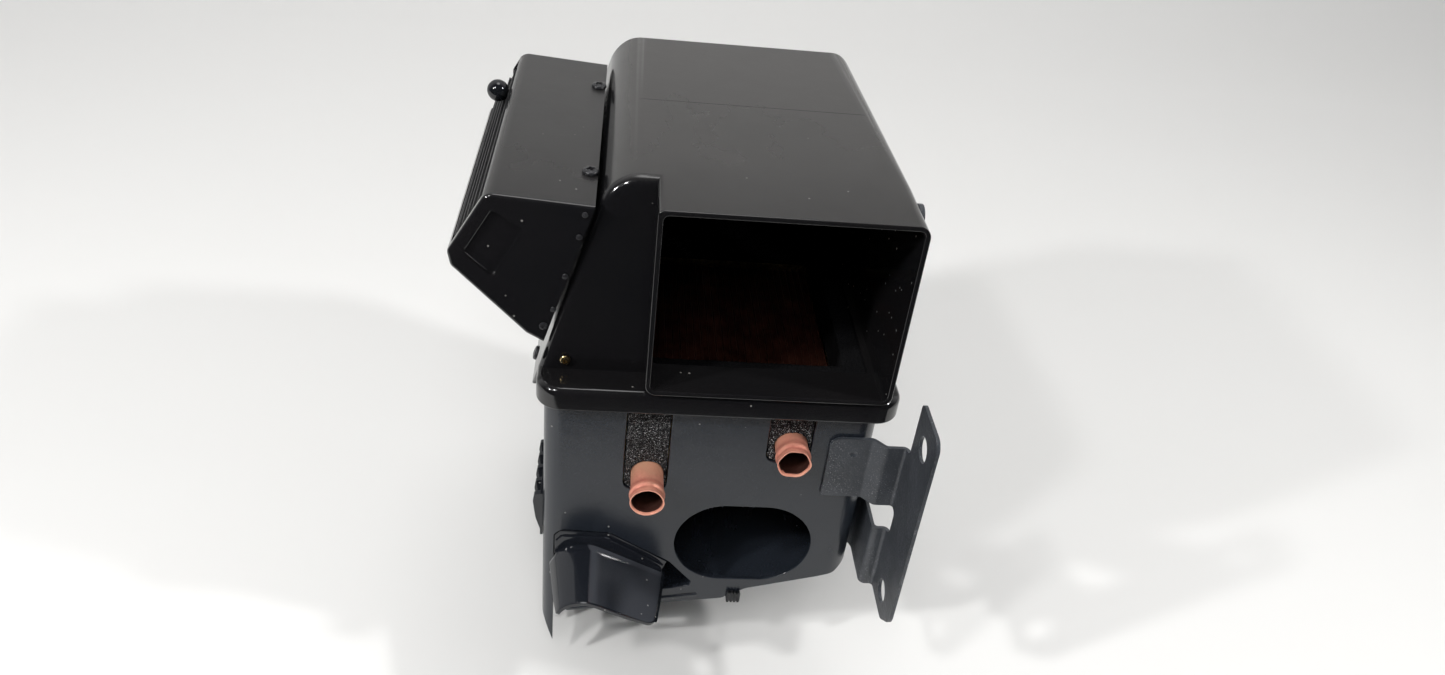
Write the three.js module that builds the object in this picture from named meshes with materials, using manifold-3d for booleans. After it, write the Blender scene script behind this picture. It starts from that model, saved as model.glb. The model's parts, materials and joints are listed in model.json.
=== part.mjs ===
// Vehicle cabin heater box: moulded upper housing with a rectangular air inlet,
// lower case that holds a flat heater core, a side vent with a ball-knob flap,
// a floor outlet with its scoop, and a sheet-steel mounting bracket.
// Millimetres. +X right, +Y to the back, +Z up, front face of the lower case at Y = 0.
import * as THREE from 'three';
import * as BufferGeometryUtils from 'three/addons/utils/BufferGeometryUtils.js';
import Module from 'manifold-3d';

const wasm = await Module();
wasm.setup();

// ---------------------------------------------------------------- dimensions
const WALL = 3;                 // moulded wall
const GAP = 0.3;                // clearance between neighbouring pieces
// lower case
const CASE_HW = 95.4;           // half width
const CASE_D = 230;             // depth
const CASE_R = 12;              // vertical corner radius
const CASE_TOP = 230.5;
const REAR_FLOOR = 60;          // underside of the rear floor
const STRIP_Z = 13.4;           // lowest point of the left outlet cheek
// flange of the upper housing
const FL_X0 = -99.5, FL_X1 = 104.5, FL_Y0 = -8, FL_Y1 = 238, FL_Z0 = 220, FL_Z1 = 234, FL_R = 15;
// upper housing
const UP_TOP = 347, UP_BACK = 234, UP_R = 95.2, UP_LTOP = -63.9, UP_SLOPE = 0.3044;
const WEB_Y_TOP = 24, WEB_Y_BOT = 12;
const DUCT_L = -40.5, DUCT_Y0 = -10.5, DUCT_Z0 = 235, DUCT_FLOOR = 238, DUCT_Y1 = 34;
// vent box, profile in X,Z
const VENT = [[-125.8, 336], [-71, 332.3], [-96.6, 247.5], [-106, 253], [-144.6, 293], [-146.2, 301.2]];
const VENT_Y0 = 16.5, VENT_Y1 = 219, VENT_WALL = 3;
// heater core
const CORE_HX = 78, CORE_Y0 = 32.3, CORE_Y1 = 188, CORE_Z0 = 154, CORE_Z1 = 203;
const TUBE_PITCH = 4.6, TUBE_T = 1.0;          // core tubes: spacing and thickness
const PIPE_R = 9.5, PIPE_BORE = 8.6, BEAD_R = 10.3;
const PIPES = { heater_pipe_left: [-35, 169, -23.7], heater_pipe_right: [46.6, 194.6, -15.5] };
// doors
const AIR_Y = 27, AIR_Z = 333, AIR_LEN = 93.5;
const FD_Y = 92, FD_Z = 68, FD_LEN = 82;
const SHAFT_R = 3;
// obround hole
const OB_CX = 27.2, OB_CZ = 115.2, OB_W = 84.6, OB_H = 61.8;
// bracket
const BR_X = 111, BR_T = 2;
// shift in plan that puts the origin under the middle of the object's box
const OX = 16.49, OY = -94.25;

// ---------------------------------------------------------------- helpers
const V = (g) => {                                   // geometry -> manifold
  g.deleteAttribute('normal'); g.deleteAttribute('uv');
  const m = BufferGeometryUtils.mergeVertices(g, 1e-4);
  return new wasm.Manifold(new wasm.Mesh({
    numProp: 3,
    vertProperties: new Float32Array(m.attributes.position.array),
    triVerts: new Uint32Array(m.index.array),
  }));
};
const G = (man) => {                                 // manifold -> geometry
  const m = man.getMesh();
  const g = new THREE.BufferGeometry();
  g.setAttribute('position', new THREE.BufferAttribute(new Float32Array(m.vertProperties), 3));
  g.setIndex(new THREE.BufferAttribute(new Uint32Array(m.triVerts), 1));
  g.computeVertexNormals();
  return g;
};
const M4 = (...r) => new THREE.Matrix4().set(...r);
const poly = (pts) => new THREE.Shape(pts.map(([a, b]) => new THREE.Vector2(a, b)));
// polygon with rounded corners: points [a, b, radius]
const rpoly = (pts, seg = 5) => {
  const out = [];
  const n = pts.length;
  for (let i = 0; i < n; i++) {
    const p = pts[i], a = pts[(i + n - 1) % n], b = pts[(i + 1) % n], r = p[2] || 0;
    if (!r) { out.push([p[0], p[1]]); continue; }
    const u = new THREE.Vector2(a[0] - p[0], a[1] - p[1]).normalize();
    const w = new THREE.Vector2(b[0] - p[0], b[1] - p[1]).normalize();
    const half = Math.acos(THREE.MathUtils.clamp(u.dot(w), -1, 1)) / 2;
    const t = r / Math.tan(half);
    const c = u.clone().add(w).normalize().multiplyScalar(r / Math.sin(half)).add(new THREE.Vector2(p[0], p[1]));
    const s = new THREE.Vector2(p[0] + u.x * t, p[1] + u.y * t);
    const e = new THREE.Vector2(p[0] + w.x * t, p[1] + w.y * t);
    const a0 = Math.atan2(s.y - c.y, s.x - c.x);
    let da = Math.atan2(e.y - c.y, e.x - c.x) - a0;
    while (da > Math.PI) da -= 2 * Math.PI;
    while (da < -Math.PI) da += 2 * Math.PI;
    for (let k = 0; k <= seg; k++) out.push([c.x + r * Math.cos(a0 + da * k / seg), c.y + r * Math.sin(a0 + da * k / seg)]);
  }
  return out;
};
const rrect = (x0, y0, x1, y1, r, seg = 5) => rpoly([[x0, y0, r], [x1, y0, r], [x1, y1, r], [x0, y1, r]], seg);
const ext = (pts, d, opt = {}) => new THREE.ExtrudeGeometry(poly(pts), { depth: d, bevelEnabled: false, ...opt });
const prismZ = (pts, z0, z1) => V(ext(pts, z1 - z0).translate(0, 0, z0));
const prismY = (pts, y0, y1) => V(ext(pts, y1 - y0).applyMatrix4(M4(1, 0, 0, 0, 0, 0, -1, y1, 0, 1, 0, 0, 0, 0, 0, 1)));
const prismX = (pts, x0, x1) => V(ext(pts, x1 - x0).applyMatrix4(M4(0, 0, 1, x0, 1, 0, 0, 0, 0, 1, 0, 0, 0, 0, 0, 1)));
const box = (x0, x1, y0, y1, z0, z1) => V(new THREE.BoxGeometry(x1 - x0, y1 - y0, z1 - z0).translate((x0 + x1) / 2, (y0 + y1) / 2, (z0 + z1) / 2));
// cylinder along a unit vector, from point p over length h
const cyl = (p, dir, r, h, seg = 24, r2 = r) => {
  const g = new THREE.CylinderGeometry(r2, r, h, seg).translate(0, h / 2, 0);
  g.applyQuaternion(new THREE.Quaternion().setFromUnitVectors(new THREE.Vector3(0, 1, 0), new THREE.Vector3(...dir).normalize()));
  return V(g.translate(...p));
};
// turned piece: profile [radius, height] that starts and ends on the axis, or closes on itself
const lathe = (prof, p, dir, seg = 24) => {
  const g = new THREE.LatheGeometry(prof.map(([r, h]) => new THREE.Vector2(r, h)), seg);
  g.applyQuaternion(new THREE.Quaternion().setFromUnitVectors(new THREE.Vector3(0, 1, 0), new THREE.Vector3(...dir).normalize()));
  return V(g.translate(...p));
};
const sub = (a, ...b) => b.reduce((s, t) => s.subtract(t), a);
const add = (a, ...b) => b.reduce((s, t) => s.add(t), a);

const group = new THREE.Group();
const inner = new THREE.Group();
inner.position.set(OX, OY, 0);
group.add(inner);
const part = (name, man, color, roughness, metalness) => {
  const mesh = new THREE.Mesh(G(man), new THREE.MeshStandardMaterial({ color, roughness, metalness }));
  mesh.name = name;
  inner.add(mesh);
  return mesh;
};
const BLACK = [0x1b1c1e, 0.45, 0.0], CASE_C = [0x2a2e33, 0.5, 0.0], COPPER = [0xb5694a, 0.35, 1.0];
const BRASS = [0xa88a4a, 0.35, 1.0], STEEL = [0x25282c, 0.4, 0.3], FOAM = [0x17181a, 0.95, 0.0];

// ---------------------------------------------------------------- upper housing
const wedge = (dy) => prismX([[-40, 200], [WEB_Y_BOT + dy - 1.5, 200], [WEB_Y_BOT + dy, 234], [WEB_Y_TOP + dy, 347], [WEB_Y_TOP + dy + 1.5, 361], [-40, 361]], -130, 130);
const wallX = (z) => UP_LTOP - (UP_TOP - z) * UP_SLOPE;
{
  const prof = rpoly([[wallX(231), 231], [UP_R, 231], [UP_R, UP_TOP, 7], [UP_LTOP, UP_TOP, 22]], 7);
  let body = prismY(prof, 5, UP_BACK).subtract(wedge(0));
  body = body.intersect(prismZ(rpoly([[-130, -30], [UP_R, -30], [UP_R, UP_BACK, 15], [-101, UP_BACK, 30], [-130, UP_BACK - 30]], 5), 225, 352));
  const duct = prismY(rrect(DUCT_L, DUCT_Z0, UP_R, UP_TOP, 6, 4), DUCT_Y0, DUCT_Y1);
  body = body.add(duct);
  body = body.intersect(prismX(rpoly([[-40, 200], [UP_BACK + 1, 200], [UP_BACK + 1, UP_TOP + 1.0, 0], [-40, UP_TOP + 1.0]]), -130, 130));
  body = body.subtract(prismX([[UP_BACK - 10, UP_TOP + 0.01], [UP_BACK - 5, UP_TOP - 1.35], [UP_BACK - 1.35, UP_TOP - 5], [UP_BACK + 0.01, UP_TOP - 10], [UP_BACK + 5, UP_TOP + 5]], -130, 130));
  // flange with rounded lip
  const fl = ext(rrect(FL_X0 + 2.5, FL_Y0 + 2.5, FL_X1 - 2.5, FL_Y1 - 2.5, FL_R - 2.5, 6), FL_Z1 - FL_Z0 - 3.5,
    { bevelEnabled: true, bevelThickness: 3, bevelSize: 2.5, bevelSegments: 3, steps: 1 }).translate(0, 0, FL_Z0 + 0.5);
  let flange = V(fl).intersect(box(-120, 120, -30, 260, FL_Z0, FL_Z1));
  body = body.add(flange).add(prismZ(rrect(FL_X0 + 0.4, FL_Y0 + 0.4, FL_X1 - 0.4, FL_Y1 - 0.4, FL_R, 6), FL_Z0, FL_Z0 + 4));
  // skirt pocket over the lower case
  body = body.subtract(prismZ(rrect(-CASE_HW - 0.4, -0.4, CASE_HW + 0.4, CASE_D + 0.4, CASE_R + 0.4, 6), FL_Z0 - 1, CASE_TOP + 0.5));
  // hollow
  const profIn = rpoly([[wallX(234) + 3.13, 234], [UP_R - 3, 234], [UP_R - 3, UP_TOP - 3, 4], [wallX(344) + 3.13, UP_TOP - 3, 19]], 6);
  let cav = prismY(profIn, 8, UP_BACK - 3).subtract(wedge(3));
  const ductIn = prismY(rrect(DUCT_L + 3, DUCT_FLOOR, UP_R - 3, UP_TOP - 3, 3, 3), DUCT_Y0 - 1, 60);
  // keep the duct's own left wall back to DUCT_Y1
  cav = cav.subtract(box(DUCT_L, DUCT_L + 3, 20, DUCT_Y1, 230, 350));
  body = body.subtract(cav).subtract(ductIn);
  body = body.subtract(box(DUCT_L + 3, UP_R - 3, 18, 60, 234, 240));
  // air way down to the heater core
  body = body.subtract(prismZ(rrect(-88, 18, 88, 222, 6, 3), 225, 234.5));
  // port to the side vent
  body = body.subtract(prismX(rrect(48, 264, 186, 320, 6, 3), -110, -62));
  // door shaft bores
  body = body.subtract(cyl([DUCT_L - 3, AIR_Y, AIR_Z], [1, 0, 0], SHAFT_R + 0.4, 7, 16));
  body = body.subtract(cyl([UP_R - 5, AIR_Y, AIR_Z], [1, 0, 0], SHAFT_R + 0.4, 8, 16));
  part('upper_housing', body, ...BLACK);
}

// ---------------------------------------------------------------- lower case
// underside of the front part, seen from the front
const under = [[-88, 50], [-60, 54], [-20.5, 60], [5.4, 64], [19.4, 66], [33.3, 75.4], [87, 90.8], [97, 93.6]];
{
  let c = prismZ(rrect(-CASE_HW, 0, CASE_HW, CASE_D, CASE_R, 6), STRIP_Z, CASE_TOP);
  const inRR = (z0, z1) => prismZ(rrect(-CASE_HW + 3, 3, CASE_HW - 3, CASE_D - 3, CASE_R - 3, 6), z0, z1);
  // below the front floor
  c = c.subtract(prismY([[-88, 0], ...under, [99, 93.6], [99, 0]], -5, 80));
  c = c.subtract(inRR(5, 50).intersect(box(-120, -80, -5, 80, 0, 60)));
  // below the rear floor
  c = c.subtract(box(-120, 120, 80, 250, 0, REAR_FLOOR));
  // inside
  const over = [[-99, 53.2], [-60, 57.2], [-20.5, 63.2], [5.4, 67.2], [19.4, 69.2], [33.3, 78.6], [87, 94], [99, 97.2]];
  const front = prismY([...over, [99, 260], [-99, 260]], -5, 90).intersect(inRR(50, 240));
  const rear = box(-120, 120, 83, 250, REAR_FLOOR + 3, 240).intersect(inRR(50, 240));
  c = c.subtract(front).subtract(rear);
  // pipe slots, open at the top
  for (const [cx, bot] of [[-36, 157.5], [45.5, 182.5]]) {
    c = c.subtract(prismY(rpoly([[cx - 12.8, bot, 6], [cx + 12.8, bot, 6], [cx + 12.8, 240], [cx - 12.8, 240]], 4), -5, 6));
  }
  // obround air hole
  c = c.subtract(prismY(rrect(OB_CX - OB_W / 2, OB_CZ - OB_H / 2, OB_CX + OB_W / 2, OB_CZ + OB_H / 2, OB_H / 2 - 0.01, 10), -5, 6));
  // floor outlet in the lower left of the front wall
  c = c.subtract(prismY(rpoly([[-88, 30], [-60, 30], [-60, 67], [-20, 73], [-3, 77, 2], [-1.7, 80.1, 2], [-16.9, 97.5, 4], [-54.4, 121, 8], [-84, 122.6, 6], [-88, 117, 2]], 4), -5, 8));
  // opening from the rear floor into the floor duct
  c = c.subtract(prismZ(rrect(-70, 98, 70, 168, 5, 3), 55, 70));
  // rests for the core
  c = c.add(box(-92.6, -79.5, 20, 210, 147.5, 150.5)).add(box(79.5, 92.6, 20, 210, 147.5, 150.5));
  // floor door shaft bores
  c = c.subtract(cyl([-100, FD_Y, FD_Z], [1, 0, 0], SHAFT_R + 0.4, 12, 16)).subtract(cyl([88, FD_Y, FD_Z], [1, 0, 0], SHAFT_R + 0.4, 12, 16));
  part('lower_case', c, ...CASE_C);
}

// floor duct under the rear floor, the box stands on it
{
  let d = prismZ(rrect(-80, 84, 80, 226, 10, 5), 0, REAR_FLOOR - GAP);
  d = d.subtract(prismZ(rrect(-77, 87, 77, 223, 7, 5), -1, REAR_FLOOR + 1));
  d = d.add(box(-77.5, 77.5, 182, 185, 20, REAR_FLOOR - GAP));
  part('floor_duct', d, ...CASE_C);
}

// ---------------------------------------------------------------- side louvres
{
  let g = box(-97.4, -95.7, 13, 77, 105, 139);
  for (let k = 0; k < 5; k++) {
    const y = 15 + 12 * k;
    g = g.add(prismY([[-97, 137.5], [-101.5, 136], [-102, 130], [-99.8, 115], [-97, 106]], y, y + 3.2));
  }
  part('side_louvre_grille', g, ...BLACK);
}

// ---------------------------------------------------------------- floor scoop
{
  const back = [[-90.5, 97], [-84.2, 106], [-73.4, 110.4], [-62.8, 109.6], [-41, 98.2], [-20.5, 87.4]];
  const lip = [[-84.4, 92.5], [-79.3, 99.8], [-69.5, 103.2], [-62.5, 102.4], [-44, 93.4], [-25.5, 86]];
  const T = 2.2, ring = (c, y, dz) => {
    const n = c.length, top = [], bot = [];
    for (let i = 0; i < n; i++) {
      const a = c[Math.max(0, i - 1)], b = c[Math.min(n - 1, i + 1)];
      const t = new THREE.Vector2(b[0] - a[0], b[1] - a[1]).normalize();
      top.push([c[i][0], y, c[i][1] + dz]);
      bot.push([c[i][0] + t.y * T, y, c[i][1] - t.x * T + dz]);
    }
    return [...top, ...bot.reverse()];
  };
  // right cheek turned down along the slope's low end
  const ext1 = (c, d) => [...c, [c[c.length - 1][0] + 0.6, c[c.length - 1][1] - d]];
  const ys = [12, -0.5, -2.5, -20, -40];   // the first two pass through the outlet
  const rings = ys.map((y) => {
    const f = THREE.MathUtils.clamp((-2 - y) / 38, 0, 1);
    const c = ext1(back, 4).map((p, i) => { const q = ext1(lip, 3)[i]; return [p[0] + (q[0] - p[0]) * f, p[1] + (q[1] - p[1]) * f]; });
    if (y > -1) { c[0] = [-87.2, 101.6]; }
    return ring(c, y, 0);
  });
  const n = rings[0].length, pos = [], idx = [];
  rings.forEach((r) => r.forEach((p) => pos.push(...p)));
  for (let k = 0; k + 1 < rings.length; k++) for (let i = 0; i < n; i++) {
    const a = k * n + i, b = k * n + (i + 1) % n, c = a + n, d = b + n;
    idx.push(a, c, b, b, c, d);
  }
  const flat = rings[0].map((p) => new THREE.Vector2(p[0], p[2]));
  const turn = Math.sign(THREE.ShapeUtils.area(flat));
  for (const [a, b, c] of THREE.ShapeUtils.triangulateShape(flat, [])) {
    const t = Math.sign(THREE.ShapeUtils.area([flat[a], flat[b], flat[c]]));
    const o = (rings.length - 1) * n;
    if (t === turn) idx.push(a, b, c, o + a, o + c, o + b); else idx.push(a, c, b, o + a, o + b, o + c);
  }
  let s = new wasm.Manifold(new wasm.Mesh({ numProp: 3, vertProperties: new Float32Array(pos), triVerts: new Uint32Array(idx) }));
  if (s.volume() < 0) {
    const flip = []; for (let i = 0; i < idx.length; i += 3) flip.push(idx[i], idx[i + 2], idx[i + 1]);
    s = new wasm.Manifold(new wasm.Mesh({ numProp: 3, vertProperties: new Float32Array(pos), triVerts: new Uint32Array(flip) }));
  }
  part('floor_scoop', s, ...BLACK);
}

// ---------------------------------------------------------------- mounting bracket, 2 mm sheet
{
  const T = BR_T, x0 = BR_X;
  // main plate in the YZ plane
  let plate = prismX(rpoly([[-52, 243, 7], [-52, 106, 12], [-37, 93, 5], [-9, 93], [-9, 141], [-15.5, 145, 3], [-15.5, 158, 3], [-9, 162], [-9, 203], [-15.5, 207, 2], [-15.5, 243, 4]], 4), x0, x0 + T);
  plate = plate.subtract(cyl([x0 - 2, -32.4, 223.5], [1, 0, 0], 7.5, 6, 20)).subtract(cyl([x0 - 2, -28, 107.5], [1, 0, 0], 7.5, 6, 20));
  // upper arm: on the front wall, stepped forward past the corner, then bent into the plate
  const arm = prismZ([[68.5, -2.3], [93, -2.3], [99, -9], [x0 + T, -9], [x0 + T, -7], [100, -7], [94, -0.3], [68.5, -0.3]], 160, 204)
    .intersect(prismY(rpoly([[66, 160, 3], [120, 160], [120, 204], [68.5, 204, 7]], 4), -20, 5));
  // lower arm: short front strip, then a tab back along the side wall
  const low = prismZ([[x0 + T, -9], [x0 + T, -7], [104.5, -7], [104.5, 24], [98.2, 36], [98.2, 70], [96.2, 70], [96.2, 35], [102.5, 23], [102.5, -9]], 93, 141);
  let b = plate.add(arm).add(low);
  b = b.subtract(cyl([90, 60, 128], [1, 0, 0], 1.9, 12, 12)).subtract(cyl([90, 60, 106], [1, 0, 0], 1.9, 12, 12));
  part('mounting_bracket', b, ...STEEL);
}

// ---------------------------------------------------------------- vent box
const P1 = new THREE.Vector2(...VENT[0]), P6 = new THREE.Vector2(...VENT[5]);
const SL = P6.clone().sub(P1); const SLEN = SL.length(); SL.normalize();      // down the outlet face
const NO = new THREE.Vector2(SL.y, -SL.x);                                    // outward normal of the outlet face
const onFace = (s, n) => [P1.x + SL.x * s + NO.x * n, P1.y + SL.y * s + NO.y * n];
// slab over the outlet face: s range, n range, Y range
const slab = (s0, s1, n0, n1, y0, y1) => {
  const pts = [onFace(s0, n0), onFace(s1, n0), onFace(s1, n1), onFace(s0, n1)];
  let ar = 0; for (let i = 0; i < 4; i++) { const [a, b] = pts[i], [c, d] = pts[(i + 1) % 4]; ar += a * d - b * c; }
  return prismY(ar > 0 ? pts : pts.reverse(), y0, y1);
};
{
  const rad = [7, 0, 0, 3, 4, 4];
  const outP = VENT.map((p, i) => [p[0], p[1], rad[i]]);
  let v = prismY(rpoly([...outP].reverse(), 5), VENT_Y0, VENT_Y1);
  // hollow, open towards the housing
  const inP = [[-122.6, 332.6, 4], [-73, 329.2], [-66, 329.2], [-92, 252], [-97.5, 252], [-105, 256.5, 1], [-141.6, 294.2, 2], [-142.6, 300.6, 2]];
  v = v.subtract(prismY(rpoly([...inP].reverse(), 3), VENT_Y0 + VENT_WALL, VENT_Y1 - VENT_WALL));
  // outlet
  v = v.subtract(slab(4, 36.5, -9, 6, VENT_Y0 + 5, VENT_Y1 - 5));
  // lower back corner of the outlet cut away
  v = v.subtract(prismZ(rpoly([[-175, VENT_Y1 - 21], [-141.5, VENT_Y1 - 21, 4], [-131, VENT_Y1 - 3.2], [-131, VENT_Y1 + 20], [-175, VENT_Y1 + 20]].reverse(), 4), 240, 345)
    .intersect(slab(12, 60, -12, 30, 150, 260)));
  // shallow pocket in the front wall
  v = v.add(prismY([[-124.5, 330.5], [-142.5, 300.5], [-122.8, 283.5], [-103.5, 317]].reverse(), VENT_Y0 + 2, VENT_Y0 + 7).intersect(prismY(rpoly([...outP].reverse(), 5), VENT_Y0, VENT_Y1)));
  v = v.subtract(prismY(rpoly([[-123.3, 327.8, 2], [-138.6, 301.8, 2], [-122.8, 287, 2], [-106.2, 316.6, 2]].reverse(), 3), VENT_Y0 - 2, VENT_Y0 + 4));
  // screw and rivet holes
  for (const y of [54.5, 176]) v = v.subtract(cyl([-75, y, 320], [0, 0, 1], 1.9, 20, 12));
  part('vent_box', v, ...BLACK);
}
// flap: thin plate in the outlet, hinged on its front short edge
const HNG_Y = VENT_Y0 + 8.2;
const d3 = (s, n, y) => { const [x, z] = onFace(s, n); return [x, y, z]; };
const dirS = [SL.x, 0, SL.y], dirN = [NO.x, 0, NO.y];
{
  part('vent_flap', slab(5.2, 35.3, -3.4, -1.8, HNG_Y + 1.6, VENT_Y1 - 7).add(slab(5.2, 35.3, -6.2, -3.2, HNG_Y + 30, HNG_Y + 31.5)).subtract(cyl(d3(13, -8, 172), dirN, 1.4, 14, 12)), ...BLACK);
  part('vent_flap_seal', sub(slab(7, 33.5, -6, -3.7, HNG_Y + 34, VENT_Y1 - 9), slab(9.4, 28.5, -8, -2, HNG_Y + 39, VENT_Y1 - 14)), ...FOAM);
  part('vent_flap_pin', cyl(d3(4.4, -2.6, HNG_Y), dirS, 1.0, 31.7, 12), 0x55585c, 0.4, 0.9);
  const kc = d3(13, 5.3, 172);
  part('ball_knob', lathe([[0, -6.7], [2.6, -6.7], [2.6, -6.2], [3.9, -5.4], [5.5, -3.8], [6.4, -1.9], [6.7, 0], [6.4, 1.9], [5.5, 3.8], [3.9, 5.4], [2.0, 6.4], [0, 6.7]], kc, dirN, 20), 0x0b0b0d, 0.12, 0.0);
  const ks = d3(13, -7.4, 172);
  part('knob_screw', lathe([[0, 0], [2.6, 0], [2.6, 1.3], [1.1, 1.31], [1.1, 5.6], [0, 5.6]], ks, dirN, 12), 0x777a7e, 0.4, 0.9);
}

// ---------------------------------------------------------------- heater core
{
  // flat water tubes on edge, tied by a strip at each end, air passes down between them
  let c = box(-CORE_HX, CORE_HX, CORE_Y0, CORE_Y1, CORE_Z0, CORE_Z1);
  const gap = TUBE_PITCH - TUBE_T, nGap = Math.floor((2 * CORE_HX - 2) / TUBE_PITCH), x0 = -((nGap - 1) * TUBE_PITCH) / 2;
  for (let k = 0; k < nGap; k++) {
    const x = x0 + k * TUBE_PITCH;
    c = c.subtract(box(x - gap / 2, x + gap / 2, CORE_Y0 + 2, CORE_Y1 - 2, CORE_Z0 - 1, CORE_Z1 + 1));
  }
  part('core_block', c, 0x7d4a3a, 0.6, 0.6);
  part('core_header_front', box(-80, 80, 30.6, 32, 151.5, 205.5), ...BRASS);
  part('core_header_rear', box(-80, 80, CORE_Y1 + GAP, CORE_Y1 + 1.7, 151.5, 205.5), ...BRASS);
  part('core_front_tank', prismY(rrect(-79, 152, 79, 205, 5, 3), 12, 30.3), ...BRASS);
  part('core_rear_tank', prismY(rrect(-79, 152, 79, 205, 5, 3), CORE_Y1 + 2, CORE_Y1 + 20), ...BRASS);
  part('core_side_plate_left', box(-80, -CORE_HX - GAP, 32.4, CORE_Y1 - 0.1, 151.5, 205.5), ...BRASS);
  part('core_side_plate_right', box(CORE_HX + GAP, 80, 32.4, CORE_Y1 - 0.1, 151.5, 205.5), ...BRASS);
  for (const [name, [x, z, y]] of Object.entries(PIPES)) {
    const L = 11.7 - y;                                   // tank to mouth
    const prof = [[PIPE_BORE, 0], [PIPE_R, 0], [PIPE_R, L - 8.5], [BEAD_R, L - 7], [BEAD_R, L - 5.6], [PIPE_R, L - 4.2], [PIPE_R, L - 1.2], [PIPE_R + 0.35, L], [PIPE_BORE + 0.35, L], [PIPE_BORE, L - 1], [PIPE_BORE, 0]];
    part(name, lathe(prof, [x, 11.7, z], [0, -1, 0], 28), ...COPPER);
  }
  const seal = (cx, bot, px, pz) => prismY(rpoly([[cx - 12.4, bot + 0.4, 6], [cx + 12.4, bot + 0.4, 6], [cx + 12.4, 230], [cx - 12.4, 230]], 4), 0.4, 11)
    .subtract(cyl([px, -2, pz], [0, 1, 0], PIPE_R + 0.35, 16, 28));
  part('pipe_seal_left', seal(-36, 157.5, -35, 169), ...FOAM);
  part('pipe_seal_right', seal(45.5, 182.5, 46.6, 194.6), ...FOAM);
  part('core_gasket', sub(box(-91.8, 91.8, 13, 218, 206, 230.6), box(-76, 76, 33, 187, 200, 240)), ...FOAM);
}

// ---------------------------------------------------------------- air door (inlet), open under the roof
{
  const X0 = DUCT_L + 4.2, X1 = UP_R - 4.2;
  let d = box(X0, X1, AIR_Y + 2, AIR_Y + AIR_LEN, AIR_Z - 1.1, AIR_Z + 1.1);
  for (const x of [X0 + 14, (X0 + X1) / 2, X1 - 14]) d = d.add(sub(cyl([x - 9, AIR_Y, AIR_Z], [1, 0, 0], 5, 18, 16)));
  d = d.subtract(cyl([X0 - 5, AIR_Y, AIR_Z], [1, 0, 0], SHAFT_R + GAP, X1 - X0 + 10, 20));
  part('air_door', d, ...STEEL);
  part('air_door_seal', sub(box(X0 + 0.4, X1 - 0.4, AIR_Y + 7, AIR_Y + AIR_LEN - 0.5, AIR_Z - 4.4, AIR_Z - 1.4), box(X0 + 10, X1 - 10, AIR_Y + 16, AIR_Y + AIR_LEN - 10, AIR_Z - 6, AIR_Z)), ...FOAM);
  part('air_door_shaft', cyl([DUCT_L - 2.2, AIR_Y, AIR_Z], [1, 0, 0], SHAFT_R, UP_R - DUCT_L + 2.2 + 5.8, 20), 0x777a7e, 0.4, 0.9);
  const lever = (y, z, ang, len, x0) => {
    const ty = y + Math.cos(ang) * len, tz = z + Math.sin(ang) * len;
    let l = cyl([x0, y, z], [1, 0, 0], 7.4, 3, 24).add(cyl([x0, ty, tz], [1, 0, 0], 4.6, 3, 16));
    const ny = -Math.sin(ang), nz = Math.cos(ang);
    l = l.add(prismX([[y - ny * 5.6, z - nz * 5.6], [ty - ny * 4.2, tz - nz * 4.2], [ty + ny * 4.2, tz + nz * 4.2], [y + ny * 5.6, z + nz * 5.6]], x0, x0 + 3));
    l = l.subtract(cyl([x0 - 1, y, z], [1, 0, 0], SHAFT_R + GAP, 6, 20)).subtract(cyl([x0 - 1, ty, tz], [1, 0, 0], 1.6, 6, 12));
    return l;
  };
  part('air_door_crank', lever(AIR_Y, AIR_Z, -0.5, 30, UP_R + 1.6), ...STEEL);

  // floor door under the core, closed over the floor duct
  let f = box(-76, 76, FD_Y + 2, FD_Y + FD_LEN, FD_Z - 1.1, FD_Z + 1.1);
  for (const x of [-60, 0, 60]) f = f.add(cyl([x - 9, FD_Y, FD_Z], [1, 0, 0], 4.6, 18, 16));
  f = f.subtract(cyl([-90, FD_Y, FD_Z], [1, 0, 0], SHAFT_R + GAP, 180, 20));
  part('floor_door', f, ...STEEL);
  part('floor_door_seal', sub(box(-75.5, 75.5, FD_Y + 6.5, FD_Y + FD_LEN - 0.5, FD_Z - 4.6, FD_Z - 1.4), box(-68, 68, FD_Y + 13, FD_Y + FD_LEN - 8, FD_Z - 7, FD_Z)), ...FOAM);
  part('floor_door_shaft', cyl([-98.5, FD_Y, FD_Z], [1, 0, 0], SHAFT_R, 98.5 + 101.5, 20), 0x777a7e, 0.4, 0.9);
  part('floor_door_crank', lever(FD_Y, FD_Z, 0.55, 28, CASE_HW + 1.4), ...STEEL);
}

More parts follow.
